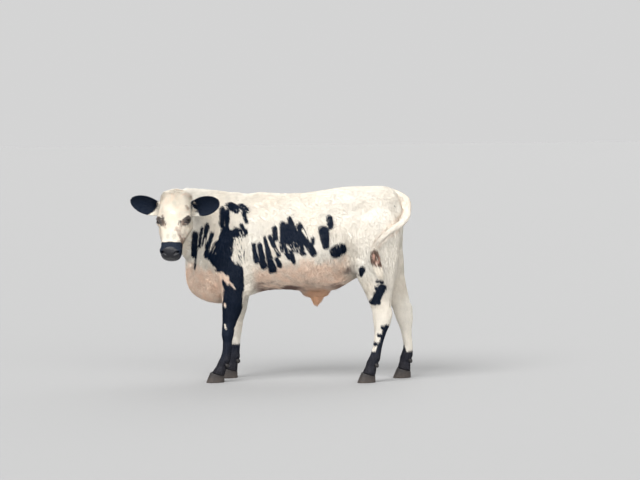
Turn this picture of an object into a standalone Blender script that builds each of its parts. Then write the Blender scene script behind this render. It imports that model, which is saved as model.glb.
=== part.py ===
"""A speckled park bull calf, about seven months old, standing with its head turned to its left.

Metres, +Z up. The calf stands along X with its nose end at -X, and its left side faces -Y.
The flesh is lofted limb by limb, fused and smoothed into one skin, and then parted with thin cuts.
"""

import math
import random

import bmesh
import bpy
import numpy as np
from mathutils import Matrix, Vector
from mathutils.bvhtree import BVHTree

# Driving sizes
GAP = 0.0003
VOXEL = 0.0055
RING = 32
BODY_TRIANGLES = 5300
HEAD_TRIANGLES = 2200
SIDES = {"left": -1, "right": 1}

# Head frame: the poll, the way the face points, and how far the nose is carried forward
POLL = Vector((-0.648, -0.235, 1.122))
FACE_TURN = math.radians(-2)
FACE_TILT = math.radians(32)
FORWARD = Vector((math.sin(FACE_TURN), -math.cos(FACE_TURN), 0))
DOWN_FACE = Vector((0, 0, -1)) * math.cos(FACE_TILT) + FORWARD * math.sin(FACE_TILT)
BROW = FORWARD * math.cos(FACE_TILT) + Vector((0, 0, 1)) * math.sin(FACE_TILT)
TO_LEFT = Vector((math.cos(FACE_TURN), math.sin(FACE_TURN), 0))
EYE_RADIUS = 0.0195
EYE_PROUD = 0.0045
LID_THICKNESS = 0.0026
LID_WIDTH = 0.0185
LID_HEIGHT = 0.0115
LID_DROP = -0.0015
LID_SIDES = 14
EYE_PLACE = (0.196, -0.040, 0.061)
MOUTH_HEIGHT = -0.088
MOUTH_DEPTH = 0.0080
MOUTH_REACH = math.radians(112)
NOSTRIL = ((0.404, -0.030, 0.024), (0.398, -0.024, 0.036), (0.386, -0.030, 0.047), (0.372, -0.042, 0.054))
NOSTRIL_RADII = (0.0045, 0.0085, 0.0070, 0.0030)
EAR_LENGTH = 0.176
EAR_WIDTH = 0.112
EAR_ROOT = (0.096, -0.062, 0.092)
EAR_RISE_LEFT = 0.21
EAR_RISE_RIGHT = 0.28
EAR_BACK = -0.16

# Trunk stations from breast to rump: x, top, bottom, widest height, half width, top power, bottom power
TRUNK = (
    (-0.630, 0.720, 0.585, 0.650, 0.045, 2.0, 2.0),
    (-0.605, 0.810, 0.520, 0.655, 0.080, 2.0, 2.0),
    (-0.540, 0.910, 0.472, 0.670, 0.125, 2.0, 2.0),
    (-0.450, 1.000, 0.448, 0.690, 0.150, 2.0, 2.1),
    (-0.350, 1.070, 0.456, 0.710, 0.172, 2.0, 2.2),
    (-0.260, 1.102, 0.490, 0.730, 0.192, 2.0, 2.2),
    (-0.160, 1.096, 0.520, 0.745, 0.212, 2.1, 2.1),
    (-0.050, 1.090, 0.526, 0.750, 0.226, 2.2, 2.1),
    (0.060, 1.092, 0.518, 0.750, 0.232, 2.3, 2.1),
    (0.160, 1.104, 0.512, 0.760, 0.226, 2.4, 2.1),
    (0.250, 1.118, 0.526, 0.790, 0.210, 2.6, 2.1),
    (0.330, 1.126, 0.570, 0.830, 0.190, 2.8, 2.1),
    (0.410, 1.127, 0.615, 0.860, 0.178, 2.8, 2.1),
    (0.490, 1.128, 0.650, 0.880, 0.168, 2.6, 2.1),
    (0.550, 1.124, 0.680, 0.890, 0.150, 2.4, 2.1),
    (0.600, 1.100, 0.720, 0.900, 0.120, 2.2, 2.1),
    (0.630, 1.055, 0.780, 0.920, 0.085, 2.0, 2.0),
    (0.642, 1.010, 0.860, 0.940, 0.040, 2.0, 2.0),
)

# Neck stations from inside the chest to inside the skull: x, y, z, rise, drop, half width
NECK = (
    (-0.240, 0.000, 0.820, 0.255, 0.240, 0.160),
    (-0.340, 0.000, 0.840, 0.256, 0.260, 0.146),
    (-0.430, -0.008, 0.860, 0.250, 0.275, 0.124),
    (-0.505, -0.028, 0.888, 0.231, 0.280, 0.106),
    (-0.566, -0.060, 0.916, 0.210, 0.268, 0.090),
    (-0.612, -0.100, 0.942, 0.184, 0.225, 0.078),
    (-0.640, -0.150, 0.964, 0.150, 0.172, 0.070),
    (-0.650, -0.200, 0.986, 0.116, 0.140, 0.066),
    (-0.652, -0.240, 0.996, 0.085, 0.105, 0.058),
)

# Head stations from poll to lips: distance down the face, brow height, jaw depth, widest depth, half width,
# top power, bottom power
HEAD = (
    (-0.016, -0.050, 0.085, 0.068, 0.050, 2.0, 2.0),
    (0.000, -0.014, 0.115, 0.066, 0.074, 2.2, 2.0),
    (0.030, 0.010, 0.138, 0.064, 0.089, 2.3, 2.0),
    (0.065, 0.016, 0.162, 0.058, 0.096, 2.4, 2.1),
    (0.105, 0.016, 0.182, 0.052, 0.100, 2.4, 2.3),
    (0.145, 0.012, 0.193, 0.050, 0.100, 2.3, 2.5),
    (0.185, 0.007, 0.193, 0.054, 0.093, 2.2, 2.6),
    (0.225, 0.002, 0.181, 0.058, 0.084, 2.1, 2.6),
    (0.265, 0.000, 0.162, 0.058, 0.073, 2.1, 2.4),
    (0.305, -0.001, 0.144, 0.056, 0.064, 2.1, 2.3),
    (0.340, 0.000, 0.131, 0.056, 0.061, 2.2, 2.3),
    (0.370, -0.003, 0.122, 0.054, 0.062, 2.4, 2.4),
    (0.393, -0.014, 0.115, 0.056, 0.059, 2.4, 2.4),
    (0.408, -0.028, 0.106, 0.062, 0.050, 2.3, 2.3),
    (0.417, -0.045, 0.090, 0.066, 0.030, 2.0, 2.0),
)

# Leg stations from inside the body to the coronet: z, x, y, half length, half width
FORELEG_LEFT = (
    (0.900, -0.300, 0.120, 0.060, 0.035),
    (0.820, -0.330, 0.130, 0.105, 0.052),
    (0.720, -0.350, 0.138, 0.118, 0.060),
    (0.620, -0.338, 0.138, 0.106, 0.060),
    (0.540, -0.330, 0.132, 0.082, 0.054),
    (0.470, -0.340, 0.126, 0.068, 0.048),
    (0.410, -0.348, 0.122, 0.058, 0.043),
    (0.350, -0.362, 0.119, 0.044, 0.038),
    (0.310, -0.370, 0.118, 0.039, 0.039),
    (0.275, -0.374, 0.118, 0.037, 0.039),
    (0.240, -0.376, 0.118, 0.030, 0.031),
    (0.190, -0.380, 0.118, 0.028, 0.028),
    (0.150, -0.387, 0.118, 0.031, 0.031),
    (0.125, -0.395, 0.118, 0.036, 0.036),
    (0.095, -0.411, 0.118, 0.034, 0.034),
    (0.062, -0.428, 0.118, 0.040, 0.040),
    (0.030, -0.437, 0.118, 0.040, 0.041),
)
FORELEG_RIGHT_SHIFT = ((0.62, -0.005), (0.47, -0.006), (0.31, 0.014), (0.15, 0.020), (0.03, 0.045))
HINDLEG_LEFT = (
    (1.030, 0.480, 0.095, 0.085, 0.050),
    (0.940, 0.482, 0.108, 0.132, 0.078),
    (0.850, 0.482, 0.114, 0.150, 0.088),
    (0.760, 0.480, 0.118, 0.150, 0.086),
    (0.680, 0.484, 0.124, 0.138, 0.076),
    (0.610, 0.492, 0.130, 0.118, 0.062),
    (0.540, 0.502, 0.134, 0.092, 0.050),
    (0.470, 0.512, 0.134, 0.070, 0.040),
    (0.415, 0.520, 0.132, 0.058, 0.036),
    (0.375, 0.524, 0.130, 0.057, 0.037),
    (0.335, 0.522, 0.128, 0.050, 0.037),
    (0.295, 0.514, 0.127, 0.038, 0.033),
    (0.245, 0.503, 0.126, 0.031, 0.028),
    (0.190, 0.491, 0.126, 0.029, 0.028),
    (0.150, 0.480, 0.126, 0.034, 0.034),
    (0.128, 0.471, 0.126, 0.038, 0.036),
    (0.095, 0.457, 0.126, 0.035, 0.034),
    (0.062, 0.447, 0.126, 0.040, 0.040),
    (0.030, 0.441, 0.126, 0.040, 0.041),
)
HINDLEG_RIGHT_SHIFT = (
    (0.76, 0.000),
    (0.61, 0.028),
    (0.47, 0.082),
    (0.335, 0.112),
    (0.19, 0.162),
    (0.03, 0.186),
)

# Heights of the cuts between trunk and legs, and the sizes of the feet
FORELEG_CUT = 0.452
HINDLEG_CUT = 0.535
CORONET_FRONT = 0.060
CORONET_HEEL = 0.040
CLAW_TOE = 0.026
CLAW_HEEL = 0.002
CLAW_WIDTH = 0.040
CLAW_SPLIT = 0.0025
CLAW_SIDES = 14
DEWCLAW_HEIGHT = 0.098
DEWCLAW_RADIUS = 0.0105
DEWCLAW_TIP_RADIUS = 0.005
DEWCLAW_LENGTH = 0.030
DEWCLAW_TILT = math.radians(142)

# Tail and switch, and the locks of the sheath and poll
TAIL_ROOT_RADIUS = 0.031
TAIL_END_RADIUS = 0.016
TAIL_CLEARANCE = 0.002
TAIL_FREE_FROM = 7
TAIL_ROUTE = (
    (0.520, 0.000, 1.084),
    (0.575, 0.000, 1.086),
    (0.625, -0.002, 1.060),
    (0.655, -0.020, 0.995),
    (0.652, -0.075, 0.935),
    (0.615, -0.160, 0.900),
    (0.570, -0.210, 0.868),
    (0.520, -0.230, 0.825),
    (0.492, -0.232, 0.780),
)
SWITCH_FALL = (0.040, 0.0, -0.20)
SWITCH_LOCKS = 16
SHEATH_LOCKS = 9
POLL_LOCKS = 17
HAIR_SUNK = 0.006

COLOURS = {
    "coat": ((0.86, 0.82, 0.74), 0.75),
    "black_skin": ((0.03, 0.03, 0.035), 0.55),
    "eye": ((0.03, 0.02, 0.015), 0.08),
    "hoof": ((0.06, 0.055, 0.05), 0.45),
    "switch": ((0.78, 0.72, 0.62), 0.8),
    "sheath": ((0.62, 0.45, 0.32), 0.7),
}


def clear_scene():
    for item in list(bpy.data.objects):
        bpy.data.objects.remove(item, do_unlink=True)


def make_material(name):
    colour, roughness = COLOURS[name]
    made = bpy.data.materials.new(name)
    made.use_nodes = True
    shader = made.node_tree.nodes["Principled BSDF"]
    shader.inputs["Base Color"].default_value = (*colour, 1)
    shader.inputs["Roughness"].default_value = roughness
    shader.inputs["Metallic"].default_value = 0.0
    return made


def new_object(name, mesh, collection):
    made = bpy.data.objects.new(name, mesh)
    collection.objects.link(made)
    return made


def new_collection(name):
    made = bpy.data.collections.new(name)
    bpy.context.scene.collection.children.link(made)
    return made


def new_cutter(mesh):
    """A shape that only cuts the calf's pieces, kept in a collection of its own."""
    made = new_object("cutter", mesh, bpy.data.collections.get("cutters") or new_collection("cutters"))
    made.hide_render = True
    made.display_type = "WIRE"
    return made


def smooth_rows(rows, steps):
    """Rows of numbers joined by a Catmull-Rom curve, with this many steps between two rows."""
    points = np.array(rows, float)
    ends = np.vstack([2 * points[0] - points[1], points, 2 * points[-1] - points[-2]])
    found = []
    for i in range(1, len(ends) - 2):
        before, start, end, after = ends[i - 1 : i + 3]
        for t in np.arange(steps) / steps:
            found.append(
                0.5
                * (
                    2 * start
                    + (end - before) * t
                    + (2 * before - 5 * start + 4 * end - after) * t**2
                    + (3 * start - before - 3 * end + after) * t**3
                )
            )
    found.append(points[-1])
    return np.array(found)


def ring(centre, side, up, half_width, rise, drop, top_power, bottom_power, count=RING):
    """Points round a rounded section: its top and bottom halves have their own height and squareness."""
    found = []
    for i in range(count):
        angle = 2 * math.pi * i / count
        across, along = math.cos(angle), math.sin(angle)
        power = 2 / (top_power if along >= 0 else bottom_power)
        height = rise if along >= 0 else drop
        found.append(
            centre
            + side * (half_width * math.copysign(abs(across) ** power, across))
            + up * (height * math.copysign(abs(along) ** power, along))
        )
    return found


def loft(rings):
    """A closed mesh through rings of equal length, capped at both ends."""
    shape = bmesh.new()
    rows = [[shape.verts.new(p) for p in points] for points in rings]
    count = len(rows[0])
    for first, second in zip(rows, rows[1:]):
        for i in range(count):
            j = (i + 1) % count
            shape.faces.new((first[i], first[j], second[j], second[i]))
    shape.faces.new(list(reversed(rows[0])))
    shape.faces.new(rows[-1])
    bmesh.ops.triangulate(shape, faces=shape.faces)
    bmesh.ops.recalc_face_normals(shape, faces=shape.faces)
    mesh = bpy.data.meshes.new("loft")
    shape.to_mesh(mesh)
    shape.free()
    return mesh


def ellipsoid(centre, radii, turn=Matrix.Identity(3)):
    shape = bmesh.new()
    bmesh.ops.create_uvsphere(shape, u_segments=32, v_segments=18, radius=1)
    place = Matrix.Translation(centre) @ turn.to_4x4() @ Matrix.Diagonal((*radii, 1))
    bmesh.ops.transform(shape, matrix=place, verts=shape.verts)
    mesh = bpy.data.meshes.new("ellipsoid")
    shape.to_mesh(mesh)
    shape.free()
    return mesh


def head_point(down, out, left):
    """A place on the head: down the face from the poll, out from the brow, and to the calf's left."""
    return POLL + DOWN_FACE * down + BROW * out + TO_LEFT * left


def trunk_mesh():
    rings = []
    for x, top, bottom, widest, half, upper, lower in smooth_rows(TRUNK, 4):
        centre = Vector((x, 0, widest))
        up = Vector((0, 0, 1))
        rings.append(ring(centre, Vector((0, 1, 0)), up, half, top - widest, widest - bottom, upper, lower))
    return loft(rings)


def neck_mesh():
    rows = smooth_rows(NECK, 4)
    rings = []
    for i, (x, y, z, rise, drop, half) in enumerate(rows):
        ahead = rows[min(i + 1, len(rows) - 1)]
        behind = rows[max(i - 1, 0)]
        run = Vector((ahead[0] - behind[0], ahead[1] - behind[1], 0)).normalized()
        side = Vector((0, 0, 1)).cross(run)
        rings.append(ring(Vector((x, y, z)), side, Vector((0, 0, 1)), half, rise, drop, 1.9, 1.7))
    return loft(rings)


def head_mesh():
    rings = []
    for down, brow, jaw, widest, half, upper, lower in smooth_rows(HEAD, 4):
        centre = head_point(down, -widest, 0)
        rings.append(ring(centre, TO_LEFT, BROW, half, brow + widest, jaw - widest, upper, lower))
    return loft(rings)


def shift_at(table, z):
    """How far back a right leg stands from its left one at this height."""
    heights = [row[0] for row in table][::-1]
    shifts = [row[1] for row in table][::-1]
    return float(np.interp(z, heights, shifts))


def leg_rows(stations, side, shifts):
    rows = smooth_rows(stations, 4)
    found = []
    for z, x, y, length, width in rows:
        moved = x + (shift_at(shifts, z) if side > 0 else 0)
        found.append((z, moved, side * y, length, width))
    return found


def leg_mesh(rows):
    rings = []
    across = Vector((0, 1, 0))
    ahead = Vector((-1, 0, 0))
    for z, x, y, length, width in rows:
        rings.append(ring(Vector((x, y, z)), across, ahead, width, length, length, 2, 2))
    return loft(rings)


def flesh_meshes():
    meshes = [trunk_mesh(), neck_mesh(), head_mesh()]
    for side in SIDES.values():
        meshes.append(leg_mesh(leg_rows(FORELEG_LEFT, side, FORELEG_RIGHT_SHIFT)))
        meshes.append(leg_mesh(leg_rows(HINDLEG_LEFT, side, HINDLEG_RIGHT_SHIFT)))
        meshes.append(ellipsoid((-0.255, side * 0.125, 0.545), (0.042, 0.038, 0.048)))
        hock_back = 0.0 if side < 0 else shift_at(HINDLEG_RIGHT_SHIFT, 0.40)
        meshes.append(ellipsoid((0.566 + hock_back, side * 0.131, 0.398), (0.020, 0.022, 0.045)))
    meshes.append(ellipsoid((0.120, 0, 0.515), (0.090, 0.040, 0.042), Matrix.Rotation(0.10, 3, "Y")))
    meshes.append(ellipsoid((0.448, 0, 0.585), (0.040, 0.045, 0.075)))
    return meshes


def falloff(distance):
    """1 at the centre of a brush and 0 at its edge, smooth at both."""
    inside = np.clip(1 - distance**2, 0, None)
    return inside**2


def press(points, normals, centre, radii, amount):
    """Raises, or with a minus sign sinks, the skin round a place, along its own normals."""
    distance = np.linalg.norm((points - np.array(centre)) / np.array(radii), axis=1)
    points += normals * (amount * falloff(distance))[:, None]


def press_line(points, normals, line, radius, amount):
    """The same along a path of points."""
    nearest = np.full(len(points), 1e9)
    path = np.array([list(p) for p in line])
    for start, end in zip(path, path[1:]):
        along = end - start
        t = np.clip((points - start) @ along / (along @ along), 0, 1)
        nearest = np.minimum(nearest, np.linalg.norm(points - start - t[:, None] * along, axis=1))
    points += normals * (amount * falloff(nearest / radius))[:, None]


def model_body(points, normals):
    """Bones and muscles that show through the skin of the trunk and legs."""
    for side in SIDES.values():
        press(points, normals, (0.365, side * 0.165, 1.055), (0.080, 0.08, 0.070), 0.014)
        press(points, normals, (0.645, side * 0.080, 0.985), (0.045, 0.05, 0.055), 0.014)
        press(points, normals, (0.275, side * 0.190, 0.960), (0.110, 0.12, 0.090), -0.012)
        press(points, normals, (0.450, side * 0.180, 0.990), (0.080, 0.08, 0.070), -0.008)
        press(points, normals, (0.340, side * 0.170, 0.720), (0.070, 0.08, 0.110), -0.014)
        press(points, normals, (0.400, side * 0.165, 0.670), (0.055, 0.06, 0.065), 0.014)
        press(points, normals, (0.590, side * 0.190, 0.760), (0.035, 0.07, 0.120), -0.006)
        press(points, normals, (-0.175, side * 0.200, 0.830), (0.060, 0.08, 0.160), -0.012)
        press(points, normals, (-0.455, side * 0.150, 0.700), (0.065, 0.07, 0.070), 0.016)
        press(points, normals, (-0.255, side * 0.130, 0.555), (0.045, 0.05, 0.050), 0.008)
        press(points, normals, (-0.470, side * 0.120, 0.880), (0.060, 0.07, 0.100), -0.008)
        blade = [(-0.280, side * 0.150, 1.000), (-0.350, side * 0.185, 0.860), (-0.420, side * 0.180, 0.740)]
        press_line(points, normals, blade, 0.075, 0.006)
        barrel = (0.060, side * 0.230, 0.760)
        press(points, normals, barrel, (0.220, 0.12, 0.180), 0.008)
        back = shift_at(HINDLEG_RIGHT_SHIFT, 0.46) if side > 0 else 0
        for face in (-1, 1):
            hollow = (0.550 + back, side * 0.134 + face * 0.036, 0.465)
            press(points, normals, hollow, (0.026, 0.03, 0.070), -0.004)
    press(points, normals, (-0.640, -0.070, 0.740), (0.050, 0.06, 0.110), 0.010)


def model_head(points, normals):
    """Brow, eye sockets, cheeks, nose and chin."""
    for left in (-1, 1):
        press(points, normals, head_point(0.176, -0.028, left * 0.088), (0.050, 0.036, 0.034), 0.010)
        press(points, normals, head_point(0.200, -0.034, left * 0.084), (0.034, 0.034, 0.034), 0.004)
        press(points, normals, head_point(0.238, -0.040, left * 0.082), (0.028, 0.030, 0.030), -0.005)
        press(points, normals, head_point(0.110, -0.080, left * 0.100), (0.034, 0.034, 0.034), -0.006)
        press(points, normals, head_point(0.178, -0.128, left * 0.080), (0.065, 0.055, 0.055), 0.012)
        crest = [head_point(0.218, -0.076, left * 0.088), head_point(0.285, -0.070, left * 0.066)]
        press_line(points, normals, crest, 0.020, 0.006)
        press(points, normals, head_point(0.295, -0.095, left * 0.066), (0.055, 0.040, 0.040), -0.004)
        press(points, normals, head_point(0.376, -0.034, left * 0.054), (0.028, 0.026, 0.024), 0.006)
        press(points, normals, head_point(0.060, -0.050, left * 0.092), (0.036, 0.034, 0.034), 0.005)
    ridge = [head_point(0.230, 0.000, 0), head_point(0.335, 0.000, 0)]
    press_line(points, normals, ridge, 0.028, 0.004)
    press(points, normals, head_point(0.155, 0.014, 0), (0.045, 0.050, 0.034), -0.004)
    press(points, normals, head_point(-0.005, -0.005, 0), (0.045, 0.050, 0.040), 0.010)
    press(points, normals, head_point(0.378, -0.112, 0), (0.030, 0.034, 0.026), 0.006)


def arrays_of(mesh):
    points = np.empty(len(mesh.vertices) * 3)
    mesh.vertices.foreach_get("co", points)
    normals = np.empty(len(mesh.vertices) * 3)
    mesh.vertex_normals.foreach_get("vector", normals)
    return points.reshape(-1, 3), normals.reshape(-1, 3)


def evaluated_mesh(item):
    graph = bpy.context.evaluated_depsgraph_get()
    return bpy.data.meshes.new_from_object(item.evaluated_get(graph))


def settle(item):
    """Applies every modifier of an object."""
    mesh = evaluated_mesh(item)
    item.modifiers.clear()
    item.data = mesh


def weight_by(item, name, weights):
    group = item.vertex_groups.new(name=name)
    for level in np.unique(np.round(weights, 1)):
        chosen = np.nonzero(np.round(weights, 1) == level)[0]
        if level > 0:
            group.add([int(i) for i in chosen], float(level), "REPLACE")


def add_smooth(item, group, factor, repeats):
    smooth = item.modifiers.new("smooth_" + group, "SMOOTH")
    smooth.factor = factor
    smooth.iterations = repeats
    smooth.vertex_group = group


def fused_flesh(collection):
    """Every loft fused into one skin, smoothed where limbs meet the trunk, with bones and muscles raised."""
    shape = bmesh.new()
    for mesh in flesh_meshes():
        shape.from_mesh(mesh)
        bpy.data.meshes.remove(mesh)
    joined = bpy.data.meshes.new("flesh")
    shape.to_mesh(joined)
    shape.free()
    flesh = new_object("flesh", joined, collection)
    remesh = flesh.modifiers.new("fuse", "REMESH")
    remesh.mode = "VOXEL"
    remesh.voxel_size = VOXEL
    settle(flesh)
    points, _ = arrays_of(flesh.data)
    on_head = (points - np.array(head_point(0.02, 0, 0))) @ np.array(FORWARD) > 0
    trunk = np.clip((points[:, 2] - 0.40) / 0.12, 0, 1) * np.where(on_head, 0.2, 1.0)
    weight_by(flesh, "trunk", trunk)
    weight_by(flesh, "whole", np.ones(len(points)))
    add_smooth(flesh, "whole", 0.5, 5)
    add_smooth(flesh, "trunk", 0.5, 36)
    settle(flesh)
    points, normals = arrays_of(flesh.data)
    model_body(points, normals)
    model_head(points, normals)
    flesh.data.vertices.foreach_set("co", points.ravel())
    flesh.data.update()
    return flesh


def copy_of(item, name, collection):
    return new_object(name, item.data.copy(), collection)


def keep_side(mesh, point, normal):
    """Cuts a closed mesh by a plane, keeps the side the normal points away from, and closes the cut."""
    shape = bmesh.new()
    shape.from_mesh(mesh)
    parts = list(shape.verts) + list(shape.edges) + list(shape.faces)
    bmesh.ops.bisect_plane(shape, geom=parts, plane_co=point, plane_no=normal, clear_outer=True, dist=1e-7)
    rim = [e for e in shape.edges if e.is_boundary]
    bmesh.ops.holes_fill(shape, edges=rim, sides=0)
    bmesh.ops.triangulate(shape, faces=shape.faces)
    shape.to_mesh(mesh)
    shape.free()


def keep_largest(mesh, near=None):
    """Drops all but the largest closed surface, or all but the one nearest a place."""
    shape = bmesh.new()
    shape.from_mesh(mesh)
    waiting = set(shape.verts)
    groups = []
    while waiting:
        start = waiting.pop()
        group = {start}
        rim = [start]
        while rim:
            vertex = rim.pop()
            for edge in vertex.link_edges:
                other = edge.other_vert(vertex)
                if other not in group:
                    group.add(other)
                    rim.append(other)
        waiting -= group
        groups.append(group)

    def size(group):
        middle = sum((v.co for v in group), Vector()) / len(group)
        return -(middle - Vector(near)).length if near is not None else len(group)

    best = max(groups, key=size)
    bmesh.ops.delete(shape, geom=[v for v in shape.verts if v not in best], context="VERTS")
    shape.to_mesh(mesh)
    shape.free()


def thin_out(item, triangles):
    counted = sum(len(face.vertices) - 2 for face in item.data.polygons)
    decimate = item.modifiers.new("thin_out", "DECIMATE")
    decimate.ratio = min(1.0, triangles / counted)
    decimate.use_collapse_triangulate = True
    settle(item)
    shape = bmesh.new()
    shape.from_mesh(item.data)
    bmesh.ops.dissolve_degenerate(shape, edges=shape.edges, dist=0.0004)
    bmesh.ops.triangulate(shape, faces=shape.faces)
    shape.to_mesh(item.data)
    shape.free()


def remove(item):
    bpy.data.objects.remove(item, do_unlink=True)


def cut_by(item, mesh):
    """Cuts a shape out of a piece."""
    cutter = new_cutter(mesh)
    cut = item.modifiers.new("cut", "BOOLEAN")
    cut.operation = "DIFFERENCE"
    cut.solver = "EXACT"
    cut.object = cutter
    settle(item)
    remove(cutter)


def plate(centre, size):
    """A thin cutter that parts one limb from the trunk."""
    shape = bmesh.new()
    bmesh.ops.create_cube(shape, size=1)
    place = Matrix.Translation(centre) @ Matrix.Diagonal((*size, 1))
    bmesh.ops.transform(shape, matrix=place, verts=shape.verts)
    mesh = bpy.data.meshes.new("plate")
    shape.to_mesh(mesh)
    shape.free()
    return mesh


def grown(mesh, amount):
    """A copy whose skin stands this much further out, to cut a neighbour clear of it."""
    shape = bmesh.new()
    shape.from_mesh(mesh)
    moves = [v.normal * amount * min(v.calc_shell_factor(), 3.0) for v in shape.verts]
    for vertex, move in zip(shape.verts, moves):
        vertex.co += move
    made = bpy.data.meshes.new("grown")
    shape.to_mesh(made)
    shape.free()
    return made


def clear_of(item, other):
    """Trims a piece to a thin gap from another, whether it roots on that one or seats it."""
    cut_by(item, grown(other.data, GAP))
    keep_largest(item.data)


def part_body(flesh, collection):
    """Torso, neck and legs from a thinned copy of the skin. Returns them by name."""
    coarse = copy_of(flesh, "coarse", collection)
    thin_out(coarse, BODY_TRIANGLES)
    nodes = {}
    for where, side in SIDES.items():
        for leg, stations, shifts, cut in (
            ("foreleg", FORELEG_LEFT, FORELEG_RIGHT_SHIFT, FORELEG_CUT),
            ("hindleg", HINDLEG_LEFT, HINDLEG_RIGHT_SHIFT, HINDLEG_CUT),
        ):
            rows = leg_rows(stations, side, shifts)
            _, x, y, length, width = min(rows, key=lambda row: abs(row[0] - cut))
            size = (2 * length + 0.06, 2 * width + 0.09, GAP)
            cut_by(coarse, plate((x, y + side * 0.012, cut), size))
            name = f"{leg}_{where}"
            nodes[name] = copy_of(coarse, name, collection)
            foot = rows[-1]
            keep_largest(nodes[name].data, near=(foot[1], foot[2], cut / 2))
            trim_foot(nodes[name].data, foot)
    keep_largest(coarse.data)
    nodes["torso"] = coarse
    coarse.name = "torso"
    return nodes


def coronet_plane(foot):
    """The slanted plane where the hooves meet the leg."""
    _, x, y, length, _ = foot
    slope = (CORONET_FRONT - CORONET_HEEL) / (2 * length)
    middle = Vector((x, y, (CORONET_FRONT + CORONET_HEEL) / 2))
    return middle, Vector((slope, 0, 1)).normalized()


def trim_foot(mesh, foot):
    middle, normal = coronet_plane(foot)
    keep_side(mesh, middle + normal * GAP / 2, -normal)


def neck_plane():
    """The cut between torso and neck, just ahead of the shoulder blades."""
    return Vector((-0.430, -0.005, 0.84)), Vector((-0.93, -0.10, 0.36)).normalized()


def throat_plane():
    """The cut between neck and head, behind the ears and the angle of the jaw."""
    ahead = FORWARD * 0.80 + Vector((-0.45, 0, -0.10))
    return head_point(0.060, -0.158, 0), ahead.normalized()


def part_neck(coarse, collection):
    """Parts the neck from the torso and drops the head, which is made from a finer copy."""
    shoulder, forward = neck_plane()
    throat, facing = throat_plane()
    neck = copy_of(coarse, "neck", collection)
    keep_side(neck.data, throat - facing * GAP / 2, facing)
    keep_side(neck.data, shoulder + forward * GAP / 2, -forward)
    keep_largest(neck.data)
    keep_side(coarse.data, shoulder - forward * GAP / 2, forward)
    keep_largest(coarse.data)
    return neck


def part_head(flesh, collection):
    head = copy_of(flesh, "head", collection)
    throat, facing = throat_plane()
    keep_side(head.data, throat - facing * 0.03, -facing)
    keep_largest(head.data)
    thin_out(head, HEAD_TRIANGLES)
    keep_side(head.data, throat + facing * GAP / 2, -facing)
    keep_largest(head.data)
    return head


def ear_frame(side):
    """Root, outward run, upward and forward directions of an ear."""
    down, out, left = EAR_ROOT
    root = head_point(down, out, side_left(side) * left)
    rise = EAR_RISE_LEFT if side < 0 else EAR_RISE_RIGHT
    run = TO_LEFT * side_left(side) * 0.95 + Vector((0, 0, 1)) * rise - FORWARD * EAR_BACK
    run = run.normalized()
    face = (FORWARD * 0.92 + Vector((0, 0, -1)) * 0.30)
    face = (face - run * face.dot(run)).normalized()
    return root, run, run.cross(face) * side_left(side), face


def side_left(side):
    """+1 for the calf's left side and -1 for its right."""
    return -side


def ear_mesh(side):
    """A leaf-shaped cup, open to the front, drawn into a tube at its root."""
    root, run, up, face = ear_frame(side)
    rings = []
    for t in (-0.12, 0, 0.08, 0.18, 0.30, 0.43, 0.57, 0.70, 0.82, 0.91, 0.97, 1):
        leaf = max(0.0, math.sin(math.pi * max(0.0, 0.10 + 0.90 * t) ** 1.05)) ** 0.48
        half = 0.5 * EAR_WIDTH * max(leaf, 0.05) if t > 0 else 0.020
        half = max(half, 0.021 * (1 - t) ** 2)
        depth = min(0.030 * (1 - 0.75 * t) + 0.004, half * 0.8 + 0.012 * (t < 0.1))
        wall = 0.0045 + 0.010 * max(0.0, 0.25 - t)
        sweep = face * (0.012 * t * t) - up * (0.010 * t * t)
        middle = root + run * (EAR_LENGTH * t) + sweep
        fill = 1 - min(1, max(0, (t - 0.02) / 0.15))
        rings.append(ear_ring(middle, up, face, half, depth, wall, fill))
    return loft(rings)


def ear_ring(middle, up, face, half, depth, wall, fill):
    """One section of the cup: round its back from edge to edge, and back along its hollow."""
    points = []
    steps = 8
    for i in range(steps):
        u = -1 + 2 * i / (steps - 1)
        points.append(middle + up * (half * u) - face * (depth * (1 - u * u)))
    for i in range(steps):
        u = 1 - 2 * i / (steps - 1)
        hollow = depth * (1 - u * u) - wall * (0.35 + 0.65 * (1 - u * u))
        raised = hollow * (1 - fill) - fill * half * 0.5 * (1 - u * u)
        points.append(middle + up * (half * 0.985 * u) - face * raised + face * 0.0006)
    return points


def eye_centre(side):
    down, out, left = EYE_PLACE
    return head_point(down, out, side_left(side) * left)


def eye_outward(side):
    """The way an eye looks: sideways, forward and a little up."""
    return (TO_LEFT * side_left(side) * 0.74 + BROW * 0.66 - DOWN_FACE * 0.06).normalized()


def ball(centre, radius):
    shape = bmesh.new()
    bmesh.ops.create_uvsphere(shape, u_segments=16, v_segments=10, radius=radius)
    bmesh.ops.translate(shape, verts=shape.verts, vec=centre)
    mesh = bpy.data.meshes.new("ball")
    shape.to_mesh(mesh)
    shape.free()
    return mesh


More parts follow.
